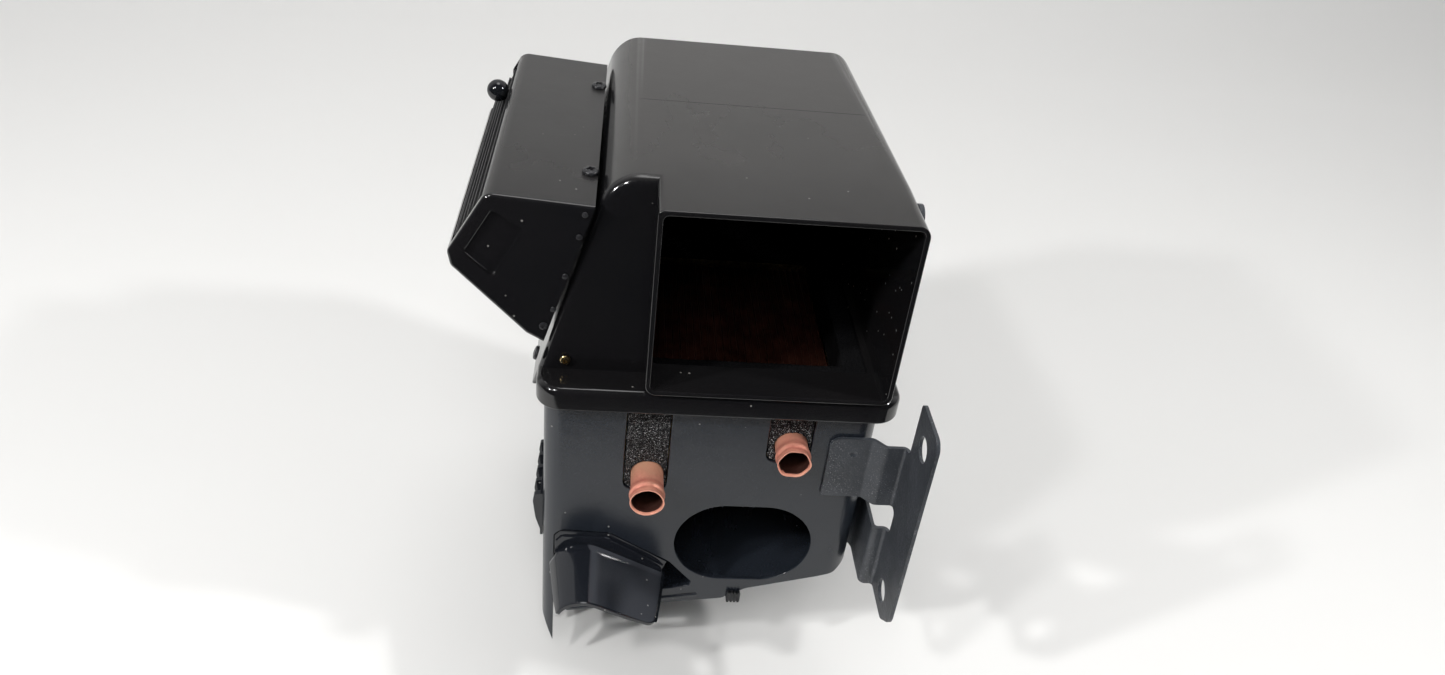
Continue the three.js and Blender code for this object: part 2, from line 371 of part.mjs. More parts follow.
// ---------------------------------------------------------------- fasteners
const panHead = (p, dir, r, h, shank, sr = 1.5) => lathe(
  [[0, -shank], [sr, -shank], [sr, 0], [r, 0.01], [r, h * 0.45], [r * 0.82, h * 0.85], [r * 0.5, h], [0, h]], p, dir, 16);
{
  const SC = [0x141517, 0.3, 0.5];
  const ventTop = (x) => 336 + (x + 125.8) * (332.3 - 336) / (125.8 - 71);
  part('vent_screw_front', panHead([-75, 54.5, ventTop(-75) + GAP], [0, 0, 1], 4.6, 2.8, 6), ...SC);
  part('vent_screw_rear', panHead([-75, 176, ventTop(-75) + GAP], [0, 0, 1], 4.6, 2.8, 6), ...SC);
  part('web_screw', panHead([-84.2, 12.6 - 0.6, 240.5], [0, -1, 0], 2.9, 2.2, 0, 1.5), 0xb8923f, 0.3, 1.0);
  part('side_screw', panHead([-99.4, 17, 240.2], [-0.957, 0, 0.289], 4.0, 2.4, 0, 1.5), ...SC);
  const RV = [[-76.0, 328.0], [-78.6, 315], [-85.2, 291], [-91.2, 270], [-96.4, 259]];
  RV.forEach(([x, z], i) => part(`vent_rivet_${i + 1}`, panHead([x, VENT_Y0 - GAP, z], [0, -1, 0], i === 4 ? 2.4 : 1.7, 1.0, 0, 1), ...SC));
  part('flange_screw_right_front', panHead([FL_X1 + GAP, 40, 227], [1, 0, 0], 3.6, 2.2, 0), ...SC);
  part('flange_screw_right_rear', panHead([FL_X1 + GAP, 190, 227], [1, 0, 0], 3.6, 2.2, 0), ...SC);
  part('flange_screw_left_rear', panHead([FL_X0 - GAP, 190, 227], [-1, 0, 0], 3.6, 2.2, 0), ...SC);
  part('flange_screw_back_left', panHead([-60, FL_Y1 + GAP, 227], [0, 1, 0], 3.6, 2.2, 0), ...SC);
  part('flange_screw_back_right', panHead([60, FL_Y1 + GAP, 227], [0, 1, 0], 3.6, 2.2, 0), ...SC);
  part('bracket_screw_upper', panHead([98.2 + GAP, 60, 128], [1, 0, 0], 4.0, 2.4, 2.2), ...SC);
  part('bracket_screw_lower', panHead([98.2 + GAP, 60, 106], [1, 0, 0], 4.0, 2.4, 2.2), ...SC);
  // spring clip hooked on the lower edge of the case
  part('edge_clip', prismX([[-2.6, 60.5], [-0.8, 60.5], [6, 63.2], [6, 64.6], [-0.9, 62.3], [-0.9, 76], [-2.6, 76]].reverse(), 21, 31), 0x3a3d40, 0.35, 0.8);
}

export default group;
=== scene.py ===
# Vehicle cabin heater box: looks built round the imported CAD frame.
import json
import math

import bmesh
import bpy
from mathutils import Matrix, Vector, noise

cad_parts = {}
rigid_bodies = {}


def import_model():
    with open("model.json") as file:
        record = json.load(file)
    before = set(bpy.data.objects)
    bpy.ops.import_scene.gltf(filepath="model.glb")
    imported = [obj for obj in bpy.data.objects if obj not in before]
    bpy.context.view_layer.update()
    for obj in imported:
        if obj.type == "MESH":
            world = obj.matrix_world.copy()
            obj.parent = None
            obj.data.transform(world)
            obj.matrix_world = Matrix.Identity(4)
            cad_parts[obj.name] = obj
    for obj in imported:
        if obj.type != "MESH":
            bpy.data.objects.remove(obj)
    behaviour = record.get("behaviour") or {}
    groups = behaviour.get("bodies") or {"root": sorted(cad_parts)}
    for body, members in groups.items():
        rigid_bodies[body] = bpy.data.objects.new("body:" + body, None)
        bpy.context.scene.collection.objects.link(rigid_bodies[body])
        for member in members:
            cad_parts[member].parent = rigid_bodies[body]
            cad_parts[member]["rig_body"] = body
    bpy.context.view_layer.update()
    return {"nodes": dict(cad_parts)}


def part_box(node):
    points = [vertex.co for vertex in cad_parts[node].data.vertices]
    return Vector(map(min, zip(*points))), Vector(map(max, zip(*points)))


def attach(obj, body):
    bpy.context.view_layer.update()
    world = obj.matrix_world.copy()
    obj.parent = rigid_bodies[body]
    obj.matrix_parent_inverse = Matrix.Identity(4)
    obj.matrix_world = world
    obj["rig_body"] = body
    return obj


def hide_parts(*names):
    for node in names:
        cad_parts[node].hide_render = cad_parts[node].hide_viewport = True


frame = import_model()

scene = bpy.context.scene

# Work is done in millimetres in the part's own plan: X = 0 is the middle of the lower case,
# Y = 0 its front face, Z = 0 the floor. The frame says where that lies in the row frame.
_lo, _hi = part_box("lower_case")
OX = (_lo.x + _hi.x) / 2 * 1000.0
OY = _lo.y * 1000.0


# ------------------------------------------------------------------ outlines
def rpoly(pts, step=1.2, least=4):
    """Polygon with rounded corners from (a, b[, radius])."""
    out, n = [], len(pts)
    for i in range(n):
        p, a, b = pts[i], pts[i - 1], pts[(i + 1) % n]
        r = p[2] if len(p) > 2 else 0
        if not r:
            out.append((p[0], p[1]))
            continue
        P = Vector(p[:2])
        u, w = (Vector(a[:2]) - P).normalized(), (Vector(b[:2]) - P).normalized()
        half = math.acos(max(-1, min(1, u.dot(w)))) / 2
        t = r / math.tan(half)
        c = P + (u + w).normalized() * (r / math.sin(half))
        s, e = P + u * t, P + w * t
        a0 = math.atan2(s.y - c.y, s.x - c.x)
        da = math.atan2(e.y - c.y, e.x - c.x) - a0
        while da > math.pi:
            da -= 2 * math.pi
        while da < -math.pi:
            da += 2 * math.pi
        seg = max(least, int(abs(da) * r / step))
        for k in range(seg + 1):
            out.append((c.x + r * math.cos(a0 + da * k / seg), c.y + r * math.sin(a0 + da * k / seg)))
    return out


def rrect(x0, y0, x1, y1, r, step=1.2):
    return rpoly([(x0, y0, r), (x1, y0, r), (x1, y1, r), (x0, y1, r)], step)


def strip(path, t, step=0.8):
    """Outline of a bent sheet: a centre line of (a, b[, bend radius]) with thickness t."""
    line, n = [], len(path)
    for i, p in enumerate(path):
        r = p[2] if len(p) > 2 else 0
        if not r or i in (0, n - 1):
            line.append(Vector(p[:2]))
            continue
        P = Vector(p[:2])
        u, w = (Vector(path[i - 1][:2]) - P).normalized(), (Vector(path[i + 1][:2]) - P).normalized()
        half = math.acos(max(-1, min(1, u.dot(w)))) / 2
        q = r / math.tan(half)
        c = P + (u + w).normalized() * (r / math.sin(half))
        s, e = P + u * q, P + w * q
        a0 = math.atan2(s.y - c.y, s.x - c.x)
        da = math.atan2(e.y - c.y, e.x - c.x) - a0
        while da > math.pi:
            da -= 2 * math.pi
        while da < -math.pi:
            da += 2 * math.pi
        seg = max(5, int(abs(da) * r / step))
        line += [Vector((c.x + r * math.cos(a0 + da * k / seg), c.y + r * math.sin(a0 + da * k / seg))) for k in range(seg + 1)]
    left, right = [], []
    for i, p in enumerate(line):
        a, b = line[max(0, i - 1)], line[min(len(line) - 1, i + 1)]
        d1 = (p - a).normalized() if (p - a).length > 1e-9 else (b - p).normalized()
        d2 = (b - p).normalized() if (b - p).length > 1e-9 else d1
        d = (d1 + d2).normalized()
        m = Vector((-d.y, d.x)) * (t / 2 / max(0.5, d.dot(d1)))
        left.append(tuple(p + m))
        right.append(tuple(p - m))
    return left + right[::-1]


# ------------------------------------------------------------------ solids (mm)
def new(bm, name="tmp"):
    me = bpy.data.meshes.new(name)
    bmesh.ops.recalc_face_normals(bm, faces=bm.faces)
    bm.to_mesh(me)
    bm.free()
    ob = bpy.data.objects.new(name, me)
    scene.collection.objects.link(ob)
    return ob


def prism(axis, pts, a0, a1):
    put = {"z": lambda p, a: (p[0], p[1], a), "y": lambda p, a: (p[0], a, p[1]), "x": lambda p, a: (a, p[0], p[1])}[axis]
    bm = bmesh.new()
    v0 = [bm.verts.new(put(p, a0)) for p in pts]
    v1 = [bm.verts.new(put(p, a1)) for p in pts]
    n = len(pts)
    bm.faces.new(v0)
    bm.faces.new(v1[::-1])
    for i in range(n):
        bm.faces.new((v0[i], v0[(i + 1) % n], v1[(i + 1) % n], v1[i]))
    return new(bm)


def box(x0, x1, y0, y1, z0, z1):
    return prism("z", [(x0, y0), (x1, y0), (x1, y1), (x0, y1)], z0, z1)


def turned(prof, p, axis, seg=48, closed=False):
    """Lathe of (radius, height) about axis through p. closed: the profile closes on itself."""
    bm = bmesh.new()
    rings = []
    for r, h in prof:
        if r < 1e-6:
            rings.append([bm.verts.new((0, 0, h))])
        else:
            rings.append([bm.verts.new((r * math.cos(2 * math.pi * k / seg), r * math.sin(2 * math.pi * k / seg), h)) for k in range(seg)])
    pairs = list(zip(rings, rings[1:])) + ([(rings[-1], rings[0])] if closed else [])
    for a, b in pairs:
        for k in range(seg):
            k2 = (k + 1) % seg
            if len(a) == 1 and len(b) == 1:
                continue
            if len(a) == 1:
                bm.faces.new((a[0], b[k2], b[k]))
            elif len(b) == 1:
                bm.faces.new((a[k], a[k2], b[0]))
            else:
                bm.faces.new((a[k], a[k2], b[k2], b[k]))
    if not closed:
        for ring, flip in ((rings[0], True), (rings[-1], False)):
            if len(ring) > 1:
                bm.faces.new(ring[::-1] if flip else ring)
    q = Vector((0, 0, 1)).rotation_difference(Vector(axis).normalized())
    bmesh.ops.transform(bm, matrix=Matrix.Translation(Vector(p)) @ q.to_matrix().to_4x4(), verts=bm.verts)
    return new(bm)


def rod(p, axis, r, h, seg=32):
    return turned([(r, 0), (r, h)], p, axis, seg)


def settle(ob, mods=True):
    """Turns the evaluated object back into a plain mesh."""
    dg = bpy.context.evaluated_depsgraph_get()
    me = bpy.data.meshes.new_from_object(ob.evaluated_get(dg), preserve_all_data_layers=True, depsgraph=dg)
    ob.modifiers.clear()
    old = ob.data
    ob.data = me
    bpy.data.meshes.remove(old)
    return ob


def cut(a, b, op="DIFFERENCE", keep=False):
    m = a.modifiers.new("b", "BOOLEAN")
    m.object, m.operation, m.solver = b, op, "MANIFOLD"
    before = len(a.data.polygons)
    dg = bpy.context.evaluated_depsgraph_get()
    me = bpy.data.meshes.new_from_object(a.evaluated_get(dg))
    same = len(me.vertices) == len(a.data.vertices) and len(me.polygons) == before and all((p.co - q.co).length < 1e-7 for p, q in zip(me.vertices, a.data.vertices))
    if same or not len(me.polygons):
        m.solver = "EXACT"
        dg = bpy.context.evaluated_depsgraph_get()
        me = bpy.data.meshes.new_from_object(a.evaluated_get(dg))
    a.modifiers.clear()
    old = a.data
    a.data = me
    bpy.data.meshes.remove(old)
    if not keep:
        dead = b.data
        bpy.data.objects.remove(b)
        bpy.data.meshes.remove(dead)
    return a


def join(a, b, keep=False):
    return cut(a, b, "UNION", keep)


def common(a, b, keep=False):
    return cut(a, b, "INTERSECT", keep)


def tidy(ob, angle=0.3):
    bm = bmesh.new()
    bm.from_mesh(ob.data)
    bmesh.ops.remove_doubles(bm, verts=bm.verts, dist=0.002)
    bmesh.ops.dissolve_limit(bm, angle_limit=math.radians(angle), verts=bm.verts, edges=bm.edges)
    bmesh.ops.dissolve_degenerate(bm, edges=bm.edges, dist=0.002)
    bm.to_mesh(ob.data)
    bm.free()
    return ob


def round_edges(ob, pick, width, seg=6):
    """Rounds the edges that pick(a, b, edge) accepts."""
    tidy(ob)
    bm = bmesh.new()
    bm.from_mesh(ob.data)
    es = [e for e in bm.edges if len(e.link_faces) == 2 and e.calc_face_angle(0) > math.radians(14) and pick(e.verts[0].co, e.verts[1].co, e)]
    if es:
        bmesh.ops.bevel(bm, geom=es, offset=width, segments=seg, profile=0.5, affect="EDGES", clamp_overlap=False)
    bm.to_mesh(ob.data)
    bm.free()
    return ob


def soften(ob, width=0.8, seg=3, angle=30, clamp=True):
    """Small radius on every sharp edge. If a tight spot holds the radius back everywhere, it is let go there."""
    tidy(ob)
    if not width:
        return ob
    before = ob.data.copy()
    for hold in ((True, False) if clamp else (False,)):
        m = ob.modifiers.new("bev", "BEVEL")
        m.width, m.segments, m.limit_method, m.angle_limit = width, seg, "ANGLE", math.radians(angle)
        m.use_clamp_overlap = hold
        m.miter_outer = "MITER_ARC"
        m.loop_slide = False
        settle(ob)
        short = sum(1 for e in ob.data.edges if (ob.data.vertices[e.vertices[0]].co - ob.data.vertices[e.vertices[1]].co).length < 0.004)
        if not hold or short < 8:
            break
        old = ob.data
        ob.data = before.copy()
        bpy.data.meshes.remove(old)
    bpy.data.meshes.remove(before)
    return ob


def shade(ob, sharp=38, weight=True):
    me = ob.data
    me.shade_smooth()
    bm = bmesh.new()
    bm.from_mesh(me)
    for e in bm.edges:
        e.smooth = not (len(e.link_faces) == 2 and e.calc_face_angle(0) > math.radians(sharp))
    bm.to_mesh(me)
    bm.free()
    if weight:
        m = ob.modifiers.new("wn", "WEIGHTED_NORMAL")
        m.mode, m.weight, m.keep_sharp = "FACE_AREA", 90, True
        settle(ob)
    return ob


PIECES = []


def place(ob, name, body, mat, replaces=(), sharp=38, weight=True):
    """mm to metres in the row frame, names it and hands it to the frame."""
    ob.name = name
    ob.data.name = name
    ob.data.transform(Matrix.Scale(0.001, 4) @ Matrix.Translation((OX, OY, 0)))
    shade(ob, sharp, weight)
    ob.data.materials.clear()
    ob.data.materials.append(mat)
    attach(ob, body)
    if replaces:
        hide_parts(*replaces)
    PIECES.append(ob)
    return ob


def refined(node, width=0.5, seg=2, mat=None, sharp=38, name=None, angle=30):
    """A finer copy of a CAD node: same shape with its sharp edges rounded."""
    src = frame["nodes"][node]
    ob = bpy.data.objects.new("tmp", src.data.copy())
    scene.collection.objects.link(ob)
    ob.data.transform(Matrix.Translation((-OX, -OY, 0)) @ Matrix.Scale(1000, 4))
    ob.data.materials.clear()
    if ob.data.has_custom_normals:
        ob.data.attributes.remove(ob.data.attributes["custom_normal"])
    soften(ob, width, seg, angle)
    return place(ob, name or node + "_fine", src["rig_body"], mat, (node,), sharp)


# ------------------------------------------------------------------ materials
class Mat:
    """Small wrapper for building a Principled material from nodes."""

    def __init__(self, name, base=(0.02, 0.02, 0.02), rough=0.4, metal=0.0, ior=1.5, **extra):
        self.m = bpy.data.materials.new(name)
        self.m.use_nodes = True
        self.nt = self.m.node_tree
        self.b = self.nt.nodes["Principled BSDF"]
        self.b.inputs["Base Color"].default_value = (*base, 1)
        self.b.inputs["Roughness"].default_value = rough
        self.b.inputs["Metallic"].default_value = metal
        self.b.inputs["IOR"].default_value = ior
        for k, v in extra.items():
            self.b.inputs[k.replace("_", " ")].default_value = v
        self.coord = self.node("ShaderNodeTexCoord").outputs["Object"]
        self.height = None

    def node(self, kind, **props):
        n = self.nt.nodes.new(kind)
        for k, v in props.items():
            setattr(n, k, v)
        return n

    def link(self, a, b):
        self.nt.links.new(a, b)

    def noise(self, scale, detail=3, rough=0.5, dist=0.0, coord=None, stretch=None):
        n = self.node("ShaderNodeTexNoise")
        n.inputs["Scale"].default_value = scale
        n.inputs["Detail"].default_value = detail
        n.inputs["Roughness"].default_value = rough
        n.inputs["Distortion"].default_value = dist
        c = coord or self.coord
        if stretch:
            mp = self.node("ShaderNodeMapping")
            mp.inputs["Scale"].default_value = stretch
            self.link(c, mp.inputs["Vector"])
            c = mp.outputs["Vector"]
        self.link(c, n.inputs["Vector"])
        return n.outputs["Fac"]

    def voronoi(self, scale, feature="F1", out="Distance", rand=1.0, coord=None):
        n = self.node("ShaderNodeTexVoronoi", feature=feature)
        n.inputs["Scale"].default_value = scale
        n.inputs["Randomness"].default_value = rand
        self.link(coord or self.coord, n.inputs["Vector"])
        return n.outputs[out]

    def ramp(self, fac, stops, interp="LINEAR"):
        n = self.node("ShaderNodeValToRGB")
        n.color_ramp.interpolation = interp
        el = n.color_ramp.elements
        while len(el) > 1:
            el.remove(el[-1])
        el[0].position = stops[0][0]
        el[0].color = self.col(stops[0][1])
        for p, c in stops[1:]:
            e = el.new(p)
            e.color = self.col(c)
        self.link(fac, n.inputs["Fac"])
        return n.outputs["Color"]

    @staticmethod
    def col(c):
        return (c, c, c, 1) if isinstance(c, (int, float)) else (*c, 1)

    def math(self, op, a, b=None, clamp=False):
        n = self.node("ShaderNodeMath", operation=op, use_clamp=clamp)
        for i, v in enumerate((a, b)):
            if v is None:
                continue
            if isinstance(v, (int, float)):
                n.inputs[i].default_value = v
            else:
                self.link(v, n.inputs[i])
        return n.outputs[0]

    def mix(self, fac, a, b, blend="MIX"):
        n = self.node("ShaderNodeMix", data_type="RGBA", blend_type=blend)
        for sock, v in ((n.inputs["Factor"], fac), (n.inputs[6], a), (n.inputs[7], b)):
            if isinstance(v, (int, float)):
                sock.default_value = v if sock.type == "VALUE" else (v, v, v, 1)
            elif isinstance(v, tuple):
                sock.default_value = (*v, 1)
            else:
                self.link(v, sock)
        return n.outputs[2]

    def color(self, out):
        self.link(out, self.b.inputs["Base Color"])

    def roughness(self, out):
        self.link(out, self.b.inputs["Roughness"])

    def bump(self, height, dist=0.0002, strength=1.0):
        n = self.node("ShaderNodeBump")
        n.inputs["Strength"].default_value = strength
        n.inputs["Distance"].default_value = dist
        self.link(height, n.inputs["Height"])
        if self.height is not None:
            self.link(self.height, n.inputs["Normal"])
        self.height = n.outputs["Normal"]
        self.link(self.height, self.b.inputs["Normal"])


def dust(m, cells, size, share, seed=0.0):
    """Sparse round specks: 1 on a speck, 0 elsewhere."""
    mp = m.node("ShaderNodeMapping")
    mp.inputs["Location"].default_value = (seed, seed * 0.7, seed * 1.3)
    m.link(m.coord, mp.inputs["Vector"])
    v = m.node("ShaderNodeTexVoronoi", feature="F1")
    v.inputs["Scale"].default_value = cells
    m.link(mp.outputs["Vector"], v.inputs["Vector"])
    near = m.math("LESS_THAN", v.outputs["Distance"], size)
    sep = m.node("ShaderNodeSeparateColor")
    m.link(v.outputs["Color"], sep.inputs["Color"])
    some = m.math("LESS_THAN", sep.outputs[0], share)
    return m.math("MULTIPLY", near, some)


def black_plastic(name, base, warm, rough, spread=0.06, specks=0.05, ripple=0.00006, streak=True, dust_and_sheen=0.0, low=0.12, lie=0.35, lean=0.0, dust_and_sheen_colour=(0.052, 0.049, 0.047)):
    m = Mat(name, base, rough)
    broad = m.noise(9, 3, 0.6)
    tone = m.mix(m.ramp(broad, [(0.3, 0.0), (0.7, 1.0)]), base, warm)
    fine = m.noise(900, 2, 0.5)
    tone = m.mix(m.math("MULTIPLY", m.ramp(fine, [(0.45, 0.0), (0.75, 1.0)]), 0.25), tone, tuple(c * 2.2 + 0.004 for c in base))
    sp = dust(m, 230, 0.13, specks)
    sp2 = dust(m, 70, 0.05, specks * 1.6, 3.1)
    allspeck = m.math("MAXIMUM", sp, sp2)
    tone = m.mix(m.math("MULTIPLY", allspeck, 0.55), tone, (0.3, 0.29, 0.27))
    # part dust film, part painted light: surfaces facing up (tilted by lean) are lightened towards a pale grey, less
    # low down and towards the front, as a painted reflection of the bright backdrop
    up = m.node("ShaderNodeSeparateXYZ")
    m.link(m.node("ShaderNodeNewGeometry").outputs["Normal"], up.inputs[0])
    facing = m.math("ADD", m.math("MULTIPLY", up.outputs["Z"], math.sqrt(1 - lean * lean)), m.math("MULTIPLY", up.outputs["X"], lean))
    dust_and_sheen_mask = m.math("MULTIPLY", m.ramp(facing, [(lie, 0.0), (max(0.97, lie + 0.012), 1.0)]), m.ramp(m.noise(14, 3, 0.6, 0.3), [(0.25, 0.7), (0.75, 1.0)]))
    pos = m.node("ShaderNodeSeparateXYZ")
    m.link(m.coord, pos.inputs[0])
    dust_and_sheen_mask = m.math("MULTIPLY", dust_and_sheen_mask, m.ramp(m.math("MULTIPLY", pos.outputs["Z"], 2.0), [(0.56, low), (0.64, 1.0)]))
    dust_and_sheen_mask = m.math("MULTIPLY", dust_and_sheen_mask, m.ramp(m.math("ADD", m.math("MULTIPLY", pos.outputs["Y"], 2.0), 0.5), [(0.29, 0.40), (0.42, 0.72), (0.55, 0.88), (0.77, 1.0)]))
    tone = m.mix(m.math("MULTIPLY", dust_and_sheen_mask, dust_and_sheen), tone, dust_and_sheen_colour)
    m.color(tone)
    smear = m.noise(34, 4, 0.62, 0.4, stretch=(1.0, 0.45, 1.0) if streak else None)
    r = m.math("ADD", m.math("MULTIPLY", m.math("SUBTRACT", smear, 0.5), spread * 4), rough)
    r = m.math("ADD", r, m.math("MULTIPLY", allspeck, 0.3))
    r = m.math("ADD", r, m.math("MULTIPLY", dust_and_sheen_mask, 0.22 if dust_and_sheen else 0.0), True)
    m.roughness(r)
    m.bump(m.noise(420, 2, 0.5), ripple, 1.0)
    m.bump(m.noise(38, 2, 0.5), ripple * 7, 1.0)
    return m


M = {}
# tops of housing, vent and case are lightened by the film above: part dust, part painted reflection of the backdrop
M["housing"] = black_plastic("housing_black", (0.0038, 0.0039, 0.0046), (0.0060, 0.0056, 0.0058), 0.125, 0.016, 0.05, 0.00002, dust_and_sheen=0.66, lie=0.6).m
M["vent"] = black_plastic("vent_black", (0.0040, 0.0041, 0.0050), (0.0062, 0.0058, 0.0062), 0.14, 0.016, 0.05, 0.00002, dust_and_sheen=0.32, lie=0.6).m
M["case"] = black_plastic("case_plastic", (0.0092, 0.0120, 0.0168), (0.0118, 0.0145, 0.0195), 0.25, 0.03, 0.04, 0.00003, dust_and_sheen=0.3).m
# painted highlight: the narrow up-and-right facing ramp paints a light band along the scoop's bend (and on the louvres
# sharing this material)
M["scoop"] = black_plastic("scoop_black", (0.0068, 0.0080, 0.0108), (0.0090, 0.0102, 0.0130), 0.11, 0.012, 0.10, 0.00001, dust_and_sheen=0.9, low=1.0, lie=0.971, lean=0.30, dust_and_sheen_colour=(0.105, 0.112, 0.128)).m

M["flap"] = black_plastic("flap_black", (0.0050, 0.0052, 0.0060), (0.0070, 0.0070, 0.0075), 0.42, 0.02, 0.06, 0.00003).m


def bracket_paint():
    m = Mat("bracket_paint", (0.016, 0.018, 0.021), 0.38)
    peel = m.noise(950, 2, 0.45)
    lumps = m.noise(330, 2, 0.5, 0.2)
    where = m.ramp(m.noise(26, 2, 0.5), [(0.42, 0.25), (0.62, 1.0)])
    m.color(m.mix(m.ramp(m.noise(60, 4, 0.6), [(0.35, 0.0), (0.7, 1.0)]), (0.022, 0.025, 0.030), (0.036, 0.040, 0.047)))
    # painted highlight: sparse light-grey spots where the orange-peel paint would catch the lamps
    painted_glint = m.math("MULTIPLY", m.ramp(m.noise(1500, 0), [(0.70, 0.0), (0.77, 1.0)]), where)
    m.color(m.mix(m.math("MULTIPLY", painted_glint, 0.5), m.b.inputs["Base Color"].links[0].from_socket, (0.42, 0.43, 0.45)))
    m.roughness(m.math("ADD", m.math("MULTIPLY", m.noise(80, 3, 0.6), 0.22), 0.24))
    m.bump(m.math("MULTIPLY", peel, where), 0.00028, 1.0)
    m.bump(lumps, 0.00016, 1.0)
    return m.m


def foam():
    m = Mat("foam_black", (0.012, 0.012, 0.013), 0.55)
    cell = m.voronoi(1150, "F1")
    cell2 = m.voronoi(620, "F1")
    h = m.math("ADD", cell, m.math("MULTIPLY", cell2, 0.8))
    # painted highlight: sparse near-white spots stand in for lamp glints on the foam's cell walls
    painted_sparkle = m.ramp(m.noise(1700, 0), [(0.68, 0.0), (0.78, 1.0)])
    painted_sparkle_fine = m.ramp(m.noise(2300, 0), [(0.70, 0.0), (0.78, 1.0)])
    tone = m.mix(m.ramp(h, [(0.35, 0.0), (1.1, 1.0)]), (0.0015, 0.0015, 0.0018), (0.0075, 0.0075, 0.0085))
    m.color(m.mix(m.math("MULTIPLY", m.math("MAXIMUM", painted_sparkle, painted_sparkle_fine), 0.9), tone, (0.62, 0.62, 0.62)))
    m.roughness(m.ramp(m.noise(2500, 1), [(0.35, 0.3), (0.6, 0.9)]))
    m.b.inputs["Specular IOR Level"].default_value = 0.22
    m.bump(h, 0.0011, 1.0)
    m.bump(m.noise(2600, 1), 0.0004, 1.0)
    return m.m


def gasket():
    m = Mat("gasket_foam", (0.004, 0.004, 0.0045), 0.8)
    m.b.inputs["Specular IOR Level"].default_value = 0.15
    m.bump(m.voronoi(700, "F1"), 0.0006, 1.0)
    return m.m


def copper():
    m = Mat("worn_copper", (0.60, 0.28, 0.21), 0.34, 0.6)
    a = m.noise(95, 4, 0.6, 0.8)
    b = m.noise(240, 4, 0.65, 0.5)
    c = m.ramp(a, [(0.30, (0.42, 0.13, 0.10)), (0.44, (0.66, 0.28, 0.21)), (0.58, (0.76, 0.41, 0.30)), (0.76, (0.74, 0.51, 0.35))])
    dark = m.ramp(b, [(0.60, 0.0), (0.78, 1.0)])
    c = m.mix(m.math("MULTIPLY", dark, 0.55), c, (0.20, 0.06, 0.05))
    pale = m.ramp(m.noise(420, 3, 0.6, 0.3), [(0.62, 0.0), (0.8, 1.0)])
    c = m.mix(m.math("MULTIPLY", pale, 0.4), c, (0.74, 0.56, 0.47))
    sx = m.node("ShaderNodeSeparateXYZ")
    m.link(m.coord, sx.inputs[0])
    bore_shade_mask = None
    for px, pz, py in ((-35, 169, -23.7), (46.6, 194.6, -15.5)):      # painted shade inside the bore, where a deep tube would be unlit
        dx = m.math("SUBTRACT", sx.outputs["X"], (px + OX) / 1000)
        dz = m.math("SUBTRACT", sx.outputs["Z"], pz / 1000)
        rr = m.math("ADD", m.math("MULTIPLY", dx, dx), m.math("MULTIPLY", dz, dz))
        k = m.math("MULTIPLY", m.math("LESS_THAN", rr, 0.0088 ** 2), m.math("GREATER_THAN", sx.outputs["Y"], (py + OY + 1.6) / 1000))
        bore_shade_mask = k if bore_shade_mask is None else m.math("MAXIMUM", bore_shade_mask, k)
    mouth = m.math("ADD", m.math("MULTIPLY", m.math("GREATER_THAN", sx.outputs["X"], 0.022), 8.2), -23.7 + OY)
    along = m.math("DIVIDE", m.math("SUBTRACT", m.math("MULTIPLY", sx.outputs["Y"], 1000.0), mouth), 30.0)
    along = m.math("ADD", along, m.math("MULTIPLY", m.math("SUBTRACT", m.noise(170, 3, 0.6), 0.5), 0.10))
    bands = m.ramp(along, [(0.0, (0.84, 0.50, 0.39)), (0.08, (0.68, 0.29, 0.22)), (0.125, (0.36, 0.09, 0.07)), (0.20, (0.76, 0.40, 0.31)), (0.27, (0.66, 0.25, 0.19)), (0.32, (0.36, 0.10, 0.075)), (0.40, (0.68, 0.34, 0.25)), (0.72, (0.72, 0.48, 0.31))])
    c = m.mix(0.55, c, bands)
    c = m.mix(1.0, c, (1.0, 0.78, 0.70), "MULTIPLY")
    c = m.mix(0.10, c, (1.0, 0.55, 0.45), "SCREEN")
    # painted shade: the bore is darkened almost to black
    c = m.mix(m.math("MULTIPLY", bore_shade_mask, 0.93), c, (0.010, 0.004, 0.003))
    m.color(c)
    m.roughness(m.math("ADD", m.math("MULTIPLY", b, 0.4), 0.24))
    m.link(m.ramp(a, [(0.3, 0.40), (0.8, 0.65)]), m.b.inputs["Metallic"])
    m.bump(m.noise(520, 3, 0.6), 0.00008, 1.0)
    m.bump(m.noise(130, 2, 0.5), 0.0002, 1.0)
    return m.m


def metal(name, base, rough, grain=0.00003, tint=None, metallic=1.0):
    m = Mat(name, base, rough, metallic)
    n = m.noise(260, 4, 0.6)
    m.color(m.mix(m.ramp(n, [(0.35, 0.0), (0.7, 1.0)]), tuple(c * 0.72 for c in base), tint or base))
    m.roughness(m.math("ADD", m.math("MULTIPLY", m.noise(500, 3, 0.6), 0.24), rough - 0.12))
    m.bump(m.noise(1400, 2, 0.5), grain, 1.0)
    return m.m


def fins():
    m = Mat("core_fin_copper", (0.12, 0.045, 0.03), 0.5, 0.6)
    n = m.noise(70, 4, 0.6)
    # painted shade: fin and tube colour is kept far darker than copper, for the unlit inside of the inlet
    m.color(m.mix(m.ramp(n, [(0.35, 0.0), (0.7, 1.0)]), (0.026, 0.008, 0.005), (0.07, 0.024, 0.015)))
    m.roughness(m.math("ADD", m.math("MULTIPLY", n, 0.3), 0.3))
    m.bump(m.noise(900, 2), 0.00005, 1.0)
    return m.m


